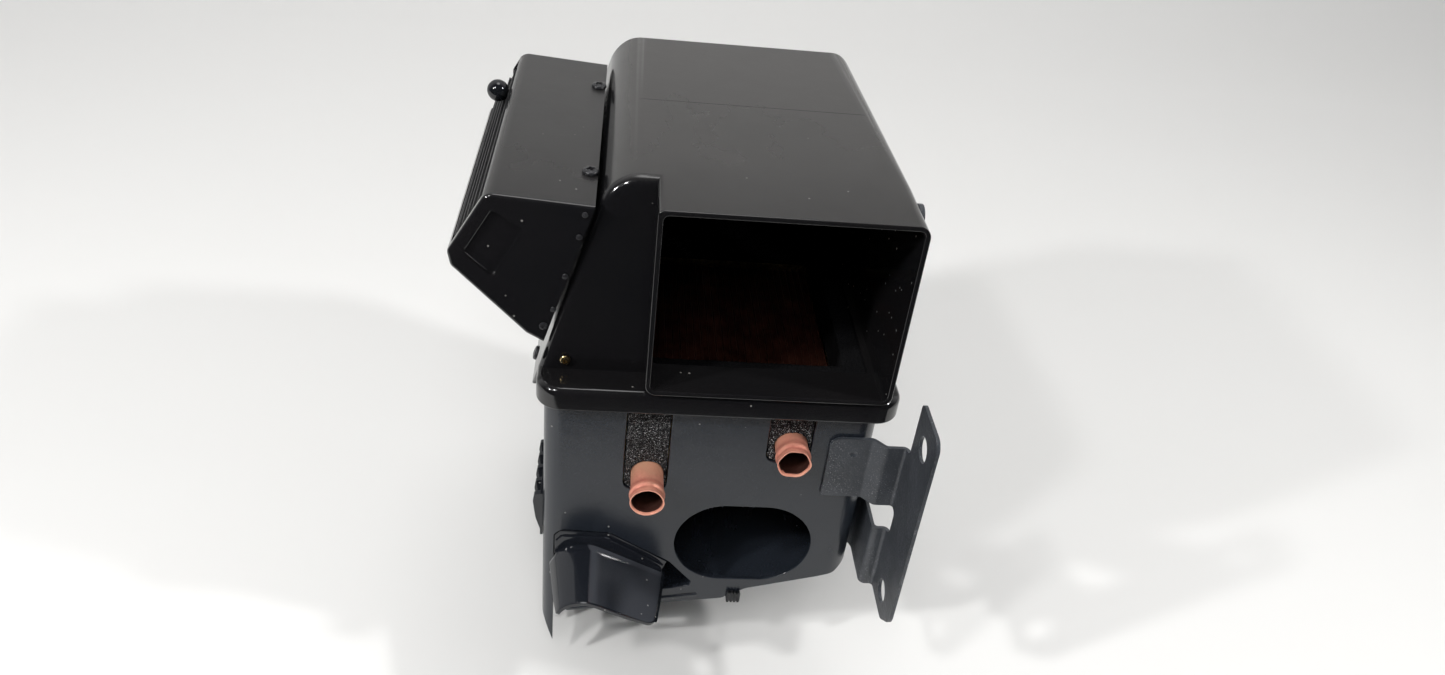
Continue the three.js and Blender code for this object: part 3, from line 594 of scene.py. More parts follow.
M["bracket"] = bracket_paint()
M["foam"] = foam()
M["gasket"] = gasket()
M["copper"] = copper()
M["fins"] = fins()
M["brass"] = metal("core_brass", (0.52, 0.38, 0.19), 0.42, 0.00005, (0.62, 0.47, 0.25))
M["brass_screw"] = metal("brass_screw", (0.66, 0.48, 0.22), 0.26, 0.00004, (0.8, 0.62, 0.33))
M["steel"] = metal("plated_steel", (0.46, 0.46, 0.47), 0.34, 0.00003, (0.56, 0.56, 0.57))
M["black_screw"] = metal("black_screw", (0.022, 0.022, 0.024), 0.26, 0.00003, (0.03, 0.03, 0.033), 0.25)
M["clip"] = metal("clip_steel", (0.016, 0.0165, 0.018), 0.34, 0.00004, (0.03, 0.03, 0.032), 0.5)
M["sheet"] = metal("door_sheet", (0.03, 0.031, 0.034), 0.42, 0.00005, (0.045, 0.046, 0.05), 0.3)
_k = Mat("knob_gloss", (0.006, 0.0065, 0.008), 0.07)
_k.roughness(_k.math("ADD", _k.math("MULTIPLY", _k.noise(160, 3), 0.06), 0.045))
_k.bump(_k.noise(300, 2), 0.00001, 1.0)
M["knob"] = _k.m

# ------------------------------------------------------------------ upper housing
CASE_HW, CASE_D, CASE_R, CASE_TOP = 95.4, 230.0, 12.0, 230.5
FL_X0, FL_X1, FL_Y0, FL_Y1, FL_Z0, FL_Z1 = -99.5, 104.5, -8.0, 238.0, 220.0, 234.0
TOP, BACK, UR, LTOP, SLOPE = 347.0, 236.5, 95.2, -63.9, 0.3044
DUCT_L, DUCT_Y0, DUCT_Z0, DUCT_FLOOR, DUCT_Y1 = -40.5, -10.5, 235.0, 238.0, 34.0
WEB_T, WEB_B = 24.0, 12.0


def wall_x(z):
    return LTOP - (TOP - z) * SLOPE


def wedge(dy):
    return prism("x", [(-60, 200), (WEB_B + dy - 3.6, 200), (WEB_B + dy, 234), (WEB_T + dy, 347), (WEB_T + dy + 2.2, 368), (-60, 368)], -150, 150)


def web_y(z):
    return WEB_B + (z - 234) * (WEB_T - WEB_B) / 113.0


def inset(prof, d):
    """Closed outline moved inwards by d."""
    n = len(prof)
    area2 = sum(prof[i][0] * prof[(i + 1) % n][1] - prof[(i + 1) % n][0] * prof[i][1] for i in range(n))
    sgn = 1 if area2 > 0 else -1
    out = []
    for i in range(n):
        a, p, b = Vector(prof[i - 1]), Vector(prof[i]), Vector(prof[(i + 1) % n])
        d1, d2 = (p - a).normalized(), (b - p).normalized()
        n1, n2 = Vector((-d1.y, d1.x)) * sgn, Vector((-d2.y, d2.x)) * sgn
        m = (n1 + n2).normalized()
        out.append(tuple(p + m * (d / max(0.3, m.dot(n1)))))
    return out


def lofted(rings):
    """Closed solid through rings of equal point count, flat caps."""
    bm = bmesh.new()
    vs = [[bm.verts.new(p) for p in r] for r in rings]
    n = len(vs[0])
    for a, b in zip(vs, vs[1:]):
        for i in range(n):
            bm.faces.new((a[i], a[(i + 1) % n], b[(i + 1) % n], b[i]))
    bm.faces.new(vs[0][::-1])
    bm.faces.new(vs[-1])
    return new(bm)


def upper_housing():
    prof = rpoly([(wall_x(221), 221), (UR, 221), (UR, TOP, 7), (LTOP, TOP, 22)], 100, 16)
    rear = rpoly([(wall_x(221), 221), (UR, 221), (UR, TOP, 19), (LTOP, TOP, 25)], 100, 16)
    R1 = 5.5
    rings = []
    for k in range(11):     # rounded edge where the top and the slanted side turn into the web
        t = math.radians(90 * k / 10)
        pr = inset(prof, R1 * (1 - math.sin(t))) if k < 10 else prof
        rings.append([(x, web_y(z) + R1 * (1 - math.cos(t)), z) for x, z in pr])
    for k in range(0, 9):     # the right-hand corner opens out towards the rear
        f = k / 8
        rings.append([(a[0] + (b[0] - a[0]) * f, 36 + (BACK - 36) * f, a[1] + (b[1] - a[1]) * f) for a, b in zip(prof, rear)])
    body = lofted(rings)
    common(body, prism("z", rpoly([(-130, -30), (UR + 0.5, -30), (UR + 0.5, 60), (UR, 61), (UR, BACK, 4), (-101, BACK, 30), (-130, BACK - 30)], 1.2), 215, 352))
    duct = prism("y", rpoly([(DUCT_L, DUCT_Z0, 6), (UR, DUCT_Z0, 6), (UR, TOP, 7), (DUCT_L, TOP, 3.2)], 100, 16), DUCT_Y0, DUCT_Y1)
    round_edges(duct, lambda a, b, e: a.y < DUCT_Y0 + 0.01 and b.y < DUCT_Y0 + 0.01, 0.9, 4)
    join(body, duct)
    arc = [(BACK - 4 + 4 * math.sin(math.radians(15 * k)), TOP - 4 + 4 * math.cos(math.radians(15 * k))) for k in range(7)]
    arc[0], arc[-1] = (BACK - 4, TOP + 0.01), (BACK + 0.01, TOP - 4)
    cutter = prism("x", arc + [(BACK + 9, TOP - 4), (BACK + 9, TOP + 9), (BACK - 4, TOP + 9)], -160, 160)
    cut(body, cutter)
    fl = prism("z", rrect(FL_X0, FL_Y0, FL_X1, FL_Y1, 15, 1.0), FL_Z0, FL_Z1)
    round_edges(fl, lambda a, b, e: a.z > FL_Z1 - 0.1 and b.z > FL_Z1 - 0.1, 4.2, 6)
    round_edges(fl, lambda a, b, e: a.z < FL_Z0 + 0.1 and b.z < FL_Z0 + 0.1, 1.2, 4)
    join(body, fl)
    cut(body, prism("z", rrect(-CASE_HW - 0.4, -0.4, CASE_HW + 0.4, CASE_D + 0.4, CASE_R + 0.4, 1.0), FL_Z0 - 1, CASE_TOP + 0.5))
    prof_in = rpoly([(wall_x(234) + 3.13, 234), (UR - 3, 234), (UR - 3, TOP - 3, 17), (wall_x(344) + 3.13, TOP - 3, 22)], 1.2)
    cav = prism("y", prof_in, 8, BACK - 3)
    cut(cav, wedge(3))
    cut(cav, box(DUCT_L, DUCT_L + 3, 20, DUCT_Y1, 230, 350))
    cut(body, cav)
    hole = rrect(DUCT_L + 3, DUCT_FLOOR, UR - 3, TOP - 3, 3, 0.8)
    rings = [[(x, DUCT_Y0 - 1, z) for x, z in inset(hole, -0.9)]]
    for k in range(5):
        t = math.radians(22.5 * k)
        rings.append([(x, DUCT_Y0 + 0.9 * (1 - math.cos(t)), z) for x, z in inset(hole, -0.9 * (1 - math.sin(t)))])
    rings.append([(x, 60, z) for x, z in hole])
    cut(body, lofted(rings))
    cut(body, box(DUCT_L + 3, UR - 3, 18, 60, 234, 240))
    cut(body, prism("z", rrect(-88, 18, 88, 222, 6), 225, 234.5))
    cut(body, prism("x", rrect(48, 264, 186, 320, 6), -110, -62))
    tidy(body)
    cut(body, rod((DUCT_L - 3, 27, 333), (1, 0, 0), 3.4, 7))
    cut(body, rod((UR - 5, 27, 333), (1, 0, 0), 3.4, 8))
    # mould parting line round the chamber, cut as a fine groove; the raised witness built here is discarded
    seam = prism("y", rpoly([(wall_x(236) - 0.12, 236), (UR + 0.11, 236), (UR + 0.11, TOP + 0.0, 7), (LTOP, TOP + 0.0, 22)], 1.0), 127.6, 128.05)
    cut(seam, prism("y", rpoly([(wall_x(230) + 1.2, 230), (UR - 1, 230), (UR - 1, TOP - 1, 6), (LTOP + 0.6, TOP - 1, 21)], 1.0), 127, 129))
    groove_l = prism("y", rpoly([(wall_x(236) - 3, 236), (UR + 3, 236), (UR + 3, TOP + 3, 9), (LTOP - 1.5, TOP + 3, 24)], 1.0), 127.25, 127.6)
    cut(groove_l, prism("y", rpoly([(wall_x(230) + 0.16, 230), (UR - 0.16, 230), (UR - 0.16, TOP - 0.16, 6.9), (LTOP + 0.1, TOP - 0.16, 21.9)], 1.0), 126, 129))
    cut(body, groove_l)
    dead = seam.data
    bpy.data.objects.remove(seam)
    bpy.data.meshes.remove(dead)
    return place(body, "upper_housing_shell", "housing", M["housing"], ("upper_housing",), 40)


# ------------------------------------------------------------------ lower case
UNDER = [(-88, 50), (-60, 54), (-20.5, 60), (5.4, 64), (19.4, 66), (33.3, 75.4), (87, 90.8), (97, 93.6)]


def lower_case():
    c = prism("z", rrect(-CASE_HW, 0, CASE_HW, CASE_D, CASE_R, 0.9), 13.4, CASE_TOP)

    def in_rr(z0, z1):
        return prism("z", rrect(-CASE_HW + 3, 3, CASE_HW - 3, CASE_D - 3, CASE_R - 3, 0.9), z0, z1)
    under = [(-88, 50), (-60, 54), (-20.5, 60), (5.4, 64), (19.4, 66, 8), (33.3, 75.4, 8), (78, 88.2), (88, 91.8, 6), (99, 104)]
    cut(c, prism("y", rpoly([(-88, 0)] + under + [(99, 0)], 1.0), -5, 80))
    s = in_rr(5, 50)
    common(s, box(-120, -80, -5, 80, 0, 60))
    cut(c, s)
    cut(c, box(-120, 120, 80, 250, 0, 60))
    over = [(-99, 53.2), (-60, 57.2), (-20.5, 63.2), (5.4, 67.2), (19.4, 69.2), (33.3, 78.6), (78, 91.4), (88, 95), (99, 108)]
    f = prism("y", over + [(99, 260), (-99, 260)], -5, 90)
    common(f, in_rr(50, 240))
    cut(c, f)
    r = box(-120, 120, 83, 250, 63, 240)
    common(r, in_rr(50, 240))
    cut(c, r)
    for cx, bot in ((-36, 157.5), (45.5, 182.5)):
        cut(c, prism("y", rpoly([(cx - 12.8, bot, 6), (cx + 12.8, bot, 6), (cx + 12.8, 240), (cx - 12.8, 240)], 0.8), -5, 6))
    # obround port cut through the front wall
    cut(c, prism("y", rrect(27.2 - 42.3, 115.2 - 30.9, 27.2 + 42.3, 115.2 + 30.9, 30.88, 0.9), -5, 6))
    cut(c, prism("y", rpoly([(-88, 30), (-60, 30), (-60, 67), (-20, 73), (-3, 77, 2), (-1.7, 80.1, 2), (-16.9, 97.5, 4), (-54.4, 121, 8), (-84, 122.6, 6), (-88, 117, 2)], 0.8), -5, 8))
    cut(c, prism("z", rrect(-70, 98, 70, 168, 5), 55, 70))
    join(c, box(-92.6, -79.5, 20, 210, 147.5, 150.5))
    join(c, box(79.5, 92.6, 20, 210, 147.5, 150.5))
    cut(c, prism("y", [(-120, 43.5), (-96.2, 43.5), (-85.1, 13.0), (-85.1, 0), (-120, 0)], -5, 30))
    bead = rpoly([(-80, 54.4, 1.2), (-80, 51.4, 1.2), (-57, 54.9), (-19.9, 63.1), (2.8, 67.6, 1.2), (2.8, 70.6, 1.2), (-19.9, 66.2), (-57, 57.9)], 0.4)
    bead_rings = [[(x, 1.2, z) for x, z in bead], [(x, -0.1, z) for x, z in bead], [(x, -0.55, z) for x, z in inset(bead, 0.2)], [(x, -0.85, z) for x, z in inset(bead, 0.55)], [(x, -0.95, z) for x, z in inset(bead, 0.9)]]
    soften(c, 0.55, 3, 32)
    cut(c, rod((-100, 92, 68), (1, 0, 0), 3.4, 12))
    cut(c, rod((88, 92, 68), (1, 0, 0), 3.4, 12))
    join(c, lofted(bead_rings))
    return place(c, "lower_case_shell", "housing", M["case"], ("lower_case",), 40)


def floor_duct():
    d = prism("z", rrect(-80, 84, 80, 226, 10, 1.0), 0, 59.7)
    cut(d, prism("z", rrect(-77, 87, 77, 223, 7, 1.0), -1, 61))
    join(d, box(-77.5, 77.5, 182, 185, 20, 59.7))
    soften(d, 0.8, 3, 32)
    return place(d, "floor_duct_shell", "housing", M["case"], ("floor_duct",), 40)


# ------------------------------------------------------------------ side louvres
def louvres():
    g = box(-97.4, -95.7, 13, 77, 105, 139)
    for k in range(5):
        y = 15 + 12 * k
        fin = prism("y", rpoly([(-97, 137.5), (-101.2, 136.4, 1.5), (-102, 131, 5), (-100.3, 117, 12), (-97, 106)], 0.8), y, y + 3.2)
        join(g, fin)
    soften(g, 0.7, 3, 32)
    return place(g, "side_louvres", "housing", M["scoop"], ("side_louvre_grille",), 45)


# ------------------------------------------------------------------ scoop at the floor outlet
def catmull(pts, per=8):
    out = []
    for i in range(len(pts) - 1):
        p0, p1, p2, p3 = pts[max(0, i - 1)], pts[i], pts[i + 1], pts[min(len(pts) - 1, i + 2)]
        for k in range(per):
            t = k / per
            out.append(tuple(0.5 * ((2 * p1[j]) + (-p0[j] + p2[j]) * t + (2 * p0[j] - 5 * p1[j] + 4 * p2[j] - p3[j]) * t * t + (-p0[j] + 3 * p1[j] - 3 * p2[j] + p3[j]) * t ** 3) for j in (0, 1)))
    out.append(tuple(pts[-1][:2]))
    return out


def resample(pts, n):
    d = [0.0]
    for a, b in zip(pts, pts[1:]):
        d.append(d[-1] + math.dist(a, b))
    out, j = [], 0
    for k in range(n):
        s = d[-1] * k / (n - 1)
        while j < len(d) - 2 and d[j + 1] < s:
            j += 1
        t = (s - d[j]) / max(1e-9, d[j + 1] - d[j])
        out.append(tuple(pts[j][i] + (pts[j + 1][i] - pts[j][i]) * t for i in (0, 1)))
    return out


def scoop():
    back = [(-90.5, 97), (-87.6, 102.6), (-84.2, 106), (-79.2, 109.0), (-73.4, 110.2), (-67.2, 110.2), (-62.8, 109.2), (-55, 105.4), (-41, 98.2), (-20.5, 87.4), (-19.9, 86.2)]
    lip = [(-84.4, 92.5), (-82.4, 96.6), (-79.3, 99.8), (-74.8, 102.2), (-69.5, 103.2), (-65.4, 103.2), (-62.2, 102.2), (-56, 99.3), (-44, 93.4), (-25.5, 86), (-24.9, 84.8)]
    A, B = resample(catmull(back), 64), resample(catmull(lip), 64)
    T = 2.2
    rows = []
    ys = [12, 6, 0, -2.5] + [-2.5 - 37.5 * k / 24 for k in range(1, 25)]
    for y in ys:
        f = max(0.0, min(1.0, (-2 - y) / 38))
        rows.append([(a[0] + (b[0] - a[0]) * f, y, a[1] + (b[1] - a[1]) * f) for a, b in zip(A, B)])
    # inside the case the left end is tucked in
    for r in rows[:3]:
        for i, p in enumerate(r):
            if p[0] < -87.2:
                r[i] = (-87.2 + 0.02 * i, p[1], max(p[2], 99.5 + 0.3 * i))
    # rounded front corners: pull the lip back near each end
    last = rows[-1]
    n = len(last)

    def y_of(i, j, rad_r=6.0, rad_l=2.5):
        xr = math.dist((last[i][0], last[i][2]), (last[n - 1][0], last[n - 1][2]))
        xl = math.dist((last[i][0], last[i][2]), (last[0][0], last[0][2]))
        cutb = 0.0
        if xr < rad_r:
            cutb = rad_r - math.sqrt(max(0.0, rad_r ** 2 - (rad_r - xr) ** 2))
        if xl < rad_l:
            cutb = max(cutb, rad_l - math.sqrt(max(0.0, rad_l ** 2 - (rad_l - xl) ** 2)))
        return cutb
    bm = bmesh.new()
    top, bot = [], []
    for j, r in enumerate(rows):
        tr, br = [], []
        for i, p in enumerate(r):
            a, b = r[max(0, i - 1)], r[min(n - 1, i + 1)]
            t = Vector((b[0] - a[0], b[2] - a[2])).normalized()
            share = max(0.0, min(1.0, (-2.5 - p[1]) / 37.5))
            y = p[1] + y_of(i, j) * share ** 6
            tr.append(bm.verts.new((p[0], y, p[2])))
            br.append(bm.verts.new((p[0] + t.y * T, y, p[2] - t.x * T)))
        top.append(tr)
        bot.append(br)
    m = len(rows)
    for j in range(m - 1):
        for i in range(n - 1):
            bm.faces.new((top[j][i], top[j][i + 1], top[j + 1][i + 1], top[j + 1][i]))
            bm.faces.new((bot[j][i], bot[j + 1][i], bot[j + 1][i + 1], bot[j][i + 1]))
    for i in range(n - 1):
        bm.faces.new((top[0][i], bot[0][i], bot[0][i + 1], top[0][i + 1]))
        bm.faces.new((top[m - 1][i], top[m - 1][i + 1], bot[m - 1][i + 1], bot[m - 1][i]))
    for j in range(m - 1):
        bm.faces.new((top[j][0], top[j + 1][0], bot[j + 1][0], bot[j][0]))
        bm.faces.new((top[j][n - 1], bot[j][n - 1], bot[j + 1][n - 1], top[j + 1][n - 1]))
    ob = new(bm)
    m = ob.modifiers.new("bev", "BEVEL")
    m.width, m.segments, m.limit_method, m.angle_limit = 0.6, 3, "ANGLE", math.radians(50)
    settle(ob)
    # flat flange behind the wall, filling the gap above the scoop, with a stepped border
    under = [(-21.6, 86.8, 0.8), (-41, 97.3), (-55, 104.5), (-62.8, 108.3), (-67.2, 109.2), (-73.4, 109.2), (-79.2, 108.0), (-84.2, 105.0), (-87.9, 101.5)]
    plate = prism("y", rpoly([(-87.9, 116.4, 2), (-84, 121.2, 5), (-54.9, 119.6, 8), (-18.2, 96.4, 1.5)] + under, 0.7), 1.4, 3.2)
    soften(plate, 0.35, 2, 40)
    ledge = prism("y", rpoly([(-86.9, 112.4, 2), (-83.2, 117.2, 5), (-55.8, 116.0, 8), (-20.6, 93.6, 1.5)] + under, 0.7), 0.3, 2.2)
    soften(ledge, 0.35, 2, 40)
    join(plate, ledge)
    join(ob, plate)
    return place(ob, "outlet_scoop", "housing", M["scoop"], ("floor_scoop",), 60, False)


# ------------------------------------------------------------------ bracket
def bracket():
    x0, T = 111.0, 2.0
    plate = prism("x", rpoly([(-52, 243, 7), (-52, 106, 12), (-37, 93, 5), (-11.6, 93), (-11.6, 141), (-15.5, 145, 3), (-15.5, 158, 3), (-11.6, 162), (-11.6, 203), (-15.5, 207, 2), (-15.5, 243, 4)], 0.8), x0, x0 + T)
    arm = prism("z", strip([(68.5, -1.3), (93.2, -1.3, 3.5), (99.6, -8.0, 3.5), (112, -8.0, 3.0), (112, -20)], 2.0, 0.5), 160, 204)
    common(arm, prism("y", rpoly([(66, 160, 3), (120, 160), (120, 204), (68.5, 204, 7)], 0.8), -30, 5))
    low = prism("z", strip([(112, -20), (112, -8.0, 3.0), (103.5, -8.0, 3.0), (103.5, 23.5, 12), (97.2, 35.5, 12), (97.2, 70)], 2.0, 0.5), 93, 141)
    join(plate, arm)
    join(plate, low)
    cut(plate, rod((x0 - 2, -32.4, 223.5), (1, 0, 0), 7.5, 6, 48))
    cut(plate, rod((x0 - 2, -28, 107.5), (1, 0, 0), 7.5, 6, 48))
    cut(plate, rod((90, 60, 128), (1, 0, 0), 1.9, 12))
    cut(plate, rod((90, 60, 106), (1, 0, 0), 1.9, 12))
    # spot-weld dimple on the arm
    cut(plate, turned([(0, -0.6), (1.1, -0.55), (1.9, -0.25), (2.6, 0.2), (2.6, 2), (0, 2)], (83.3, -2.3, 192.8), (0, -1, 0), 24))
    soften(plate, 0.45, 3, 32)
    return place(plate, "bracket", "housing", M["bracket"], ("mounting_bracket",), 40)


# ------------------------------------------------------------------ side vent
VENT = [(-125.8, 336), (-71, 332.3), (-96.6, 247.5), (-106, 253), (-144.6, 293), (-146.2, 301.2)]
VY0, VY1 = 16.5, 219.0
P1, P6 = Vector(VENT[0]), Vector(VENT[5])
SL = (P6 - P1).normalized()
NO = Vector((SL.y, -SL.x))
HY = VY0 + 8.2


def on_face(s, n):
    return (P1.x + SL.x * s + NO.x * n, P1.y + SL.y * s + NO.y * n)


def d3(s, n, y):
    x, z = on_face(s, n)
    return (x, y, z)


DN = (NO.x, 0, NO.y)
DS = (SL.x, 0, SL.y)


def slab(s0, s1, n0, n1, y0, y1):
    return prism("y", [on_face(s0, n0), on_face(s1, n0), on_face(s1, n1), on_face(s0, n1)], y0, y1)


def vent_box():
    rad = [7, 0, 0, 3, 4, 4]
    outp = rpoly([(p[0], p[1], r) for p, r in zip(VENT, rad)], 0.7)
    v = prism("y", outp, VY0, VY1)
    round_edges(v, lambda a, b, e: a.y < VY0 + 0.01 and b.y < VY0 + 0.01 and not (max(a.x, b.x) > -99 and abs((a - b).normalized().z) > 0.8), 2.2, 5)
    round_edges(v, lambda a, b, e: a.y > VY1 - 0.01 and b.y > VY1 - 0.01 and not (max(a.x, b.x) > -99 and abs((a - b).normalized().z) > 0.8), 2.2, 5)
    inp = rpoly([(-122.6, 332.6, 4), (-73, 329.2), (-66, 329.2), (-92, 252), (-97.5, 252), (-105, 256.5, 1), (-141.6, 294.2, 2), (-142.6, 300.6, 2)], 0.8)
    cut(v, prism("y", inp, VY0 + 6.2, VY1 - 3))
    cut(v, slab(4, 36.5, -9, 6, VY0 + 5, VY1 - 5))
    c = prism("z", rpoly([(-175, VY1 - 21), (-141.5, VY1 - 21, 4), (-131, VY1 - 3.2), (-131, VY1 + 20), (-175, VY1 + 20)], 0.8), 240, 345)
    common(c, slab(12, 60, -12, 30, 150, 260))
    cut(v, c)
    o = rpoly([(-123.3, 327.8, 2.2), (-138.6, 301.8, 2.8), (-122.8, 287, 2.8), (-106.2, 316.6, 2.2)], 0.5, 6)
    rings = [[(x, VY0 - 3, z) for x, z in inset(o, -0.25)], [(x, VY0 + 1.6, z) for x, z in inset(o, 0.15)]]
    for k in range(1, 7):
        t = math.radians(15 * k)
        rings.append([(x, VY0 + 1.6 + 1.4 * math.sin(t), z) for x, z in inset(o, 0.15 + 1.5 * (1 - math.cos(t)))])
    rings = [[(x, y + (0.03 * (x + 122.5) if y > VY0 + 1 else 0), z) for x, y, z in r] for r in rings]
    cut(v, lofted(rings))
    for y in (54.5, 176):
        cut(v, rod((-75, y, 320), (0, 0, 1), 1.9, 20))
    soften(v, 0.45, 3, 32)
    return place(v, "vent_shell", "housing", M["vent"], ("vent_box",), 42)


def vent_flap():
    f = slab(5.2, 35.3, -3.4, -1.8, HY + 1.6, VY1 - 7)
    join(f, slab(5.2, 35.3, -6.2, -3.2, HY + 30, HY + 31.5))
    for sp in (9.4, 16.4, 21.6, 26.8, 32.0):
        join(f, slab(sp, sp + 1.1, -2.4, -0.35, HY + 3, VY1 - 9))
    join(f, slab(33.9, 35.3, -2.4, -0.2, HY + 1.6, VY1 - 7))
    cut(f, rod(d3(13, -8, 172), DN, 1.4, 14))
    soften(f, 0.25, 2, 32)
    place(f, "flap_plate", "vent_flap", M["flap"], ("vent_flap",))
    refined("vent_flap_seal", 0.4, 2, M["foam"])
    pin = turned([(0, 0), (0.8, 0), (1.0, 0.25), (1.0, 31.4), (0.8, 31.7), (0, 31.7)], d3(4.4, -2.6, HY), DS, 24)
    place(pin, "flap_pin", "vent_flap", M["steel"], ("vent_flap_pin",))
    prof = [(0, -6.7), (2.0, -6.7), (2.45, -6.55), (2.7, -6.15)]
    prof += [(6.7 * math.cos(t), 6.7 * math.sin(t)) for t in [math.radians(-66 + k * 156 / 40) for k in range(41)]][:-1] + [(0, 6.7)]
    k = turned(prof, d3(13, 5.3, 172), DN, 64)
    place(k, "knob_ball", "vent_flap", M["knob"], ("ball_knob",), 50, False)
    ks = turned([(0, 0), (2.2, 0), (2.6, 0.4), (2.6, 1.1), (2.4, 1.3), (1.1, 1.31), (1.1, 5.6), (0, 5.6)], d3(13, -7.4, 172), DN, 32)
    place(ks, "knob_fixing", "vent_flap", M["steel"], ("knob_screw",))


# ------------------------------------------------------------------ heater core
PIPES = {"heater_pipe_left": (-35, 169, -23.7), "heater_pipe_right": (46.6, 194.6, -15.5)}


def pipes():
    for name, (x, z, y) in PIPES.items():
        L = 11.7 - y
        prof = [(8.6, 0), (9.5, 0), (9.5, L - 9.6), (9.56, L - 9.1), (9.8, L - 8.3), (10.12, L - 7.5), (10.28, L - 6.7), (10.3, L - 6.3), (10.28, L - 5.9), (10.1, L - 5.2), (9.8, L - 4.6), (9.56, L - 4.0), (9.5, L - 3.4), (9.5, L - 1.6), (9.62, L - 0.7), (9.8, L - 0.25), (9.75, L - 0.05), (9.5, L), (9.15, L - 0.05), (8.98, L - 0.3), (8.8, L - 1.2), (8.6, L - 2.2), (8.6, L - 12)]
        ob = turned(prof, (x, 11.7, z), (0, -1, 0), 96, closed=True)
        for v in ob.data.vertices:      # hand-worked tube: mouth and bead slightly out of round
            d = Vector((v.co.x - x, v.co.z - z))
            a = math.atan2(d.y, d.x)
            near = max(0.0, min(1.0, (11.7 - v.co.y - (L - 11)) / 8))
            if name.endswith("right"):
                w = 0.22 * math.cos(6 * a + 0.5) + 0.16 * math.cos(3 * a + 1.2) - 0.1
            else:
                w = 0.10 * math.cos(4 * a + 0.8) + 0.10 * math.cos(2 * a) - 0.08
            w += 0.08 * noise.noise(Vector((d.x, v.co.y * 1.5, d.y)) * 0.45)
            r = d.length
            k = (r + w * near) / r
            v.co.x, v.co.z = x + d.x * k, z + d.y * k
            v.co.y += near * 0.18 * noise.noise(Vector((math.cos(a) * 2.2, 7.0 + len(name), math.sin(a) * 2.2))) if v.co.y < y + 3 else 0.0
            v.co.y = max(v.co.y, y + 0.02)
        place(ob, name.replace("heater_pipe", "copper_pipe"), "housing", M["copper"], (name,), 60, False)


def core():
    # water tubes on edge with rounded ends, folded fins between them
    pitch, n = 4.6, 33
    x0 = -(n - 1) * pitch / 2
    bm = bmesh.new()

    def plate(xa, xb, ya, yb, za, zb):
        vs = [bm.verts.new(p) for p in ((xa, ya, za), (xb, ya, za), (xb, yb, za), (xa, yb, za), (xa, ya, zb), (xb, ya, zb), (xb, yb, zb), (xa, yb, zb))]
        for f in ((3, 2, 1, 0), (4, 5, 6, 7), (0, 1, 5, 4), (1, 2, 6, 5), (2, 3, 7, 6), (3, 0, 4, 7)):
            bm.faces.new([vs[i] for i in f])
    for k in range(n + 1):
        x = x0 - pitch / 2 + k * pitch
        plate(x - 0.5, x + 0.5, 32.4, 187.9, 154.4, 202.6)
    tubes = new(bm)
    soften(tubes, 0.3, 2, 30)
    place(tubes, "core_tubes", "housing", M["fins"], ("core_block",))
    bm = bmesh.new()
    fp, t = 2.4, 0.09
    for k in range(n):
        x = x0 + k * pitch
        a, b = x - 1.74, x + 1.74
        y, side, pts = 34.0, 0, []
        while y < 186:
            pts.append(((a, b)[side], y))
            pts.append(((a, b)[side], y + 0.35))
            y += fp / 2
            side = 1 - side
        left, right = [], []
        for i, p in enumerate(pts):
            q0, q1 = Vector(pts[max(0, i - 1)]), Vector(pts[min(len(pts) - 1, i + 1)])
            d = (q1 - q0).normalized()
            nn = Vector((-d.y, d.x)) * t
            left.append(Vector(p) + nn)
            right.append(Vector(p) - nn)
        ring = []
        for L, R in zip(left, right):
            ring.append([bm.verts.new((q.x, q.y, z)) for q, z in ((L, 202.3), (R, 202.3), (R, 154.7), (L, 154.7))])
        for r0, r1 in zip(ring, ring[1:]):
            for i in range(4):
                bm.faces.new((r0[i], r0[(i + 1) % 4], r1[(i + 1) % 4], r1[i]))
        bm.faces.new(ring[0][::-1])
        bm.faces.new(ring[-1])
    f = new(bm)
    place(f, "core_fin_strips", "housing", M["fins"], (), 30, False)
    for nme in ("core_header_front", "core_header_rear", "core_side_plate_left", "core_side_plate_right"):
        refined(nme, 0.3, 2, M["brass"])
    for nme in ("core_front_tank", "core_rear_tank"):
        refined(nme, 1.6, 4, M["brass"])


def push(ob, depth):
    """Moves each point along its normal by depth(point)."""
    vs = ob.data.vertices
    co, no = [v.co.copy() for v in vs], [v.normal.copy() for v in vs]
    flat = []
    for p, n in zip(co, no):
        flat += list(p + n * depth(p))
    vs.foreach_set("co", flat)
    ob.data.update()


def foam_piece(name, outline, y0, y1, hole, node):
    """Open-cell strip: a finely divided front whose skin is roughened in the mesh."""
    ob = prism("y", outline, y0, y1)
    if hole:
        cut(ob, rod((hole[0], y0 - 3, hole[1]), (0, 1, 0), hole[2], y1 - y0 + 6, 64))
    m = ob.modifiers.new("re", "REMESH")
    m.mode, m.voxel_size, m.adaptivity = "VOXEL", 0.42, 0.0
    settle(ob)
    def depth(p):
        d = -0.28 + 0.42 * noise.noise(p * 1.15) + 0.28 * noise.noise(p * 0.55 + Vector((5, 1, 9)))
        return min(0.12, d)
    push(ob, depth)
    place(ob, name, "housing", M["foam"], (node,), 80, False)
    return ob


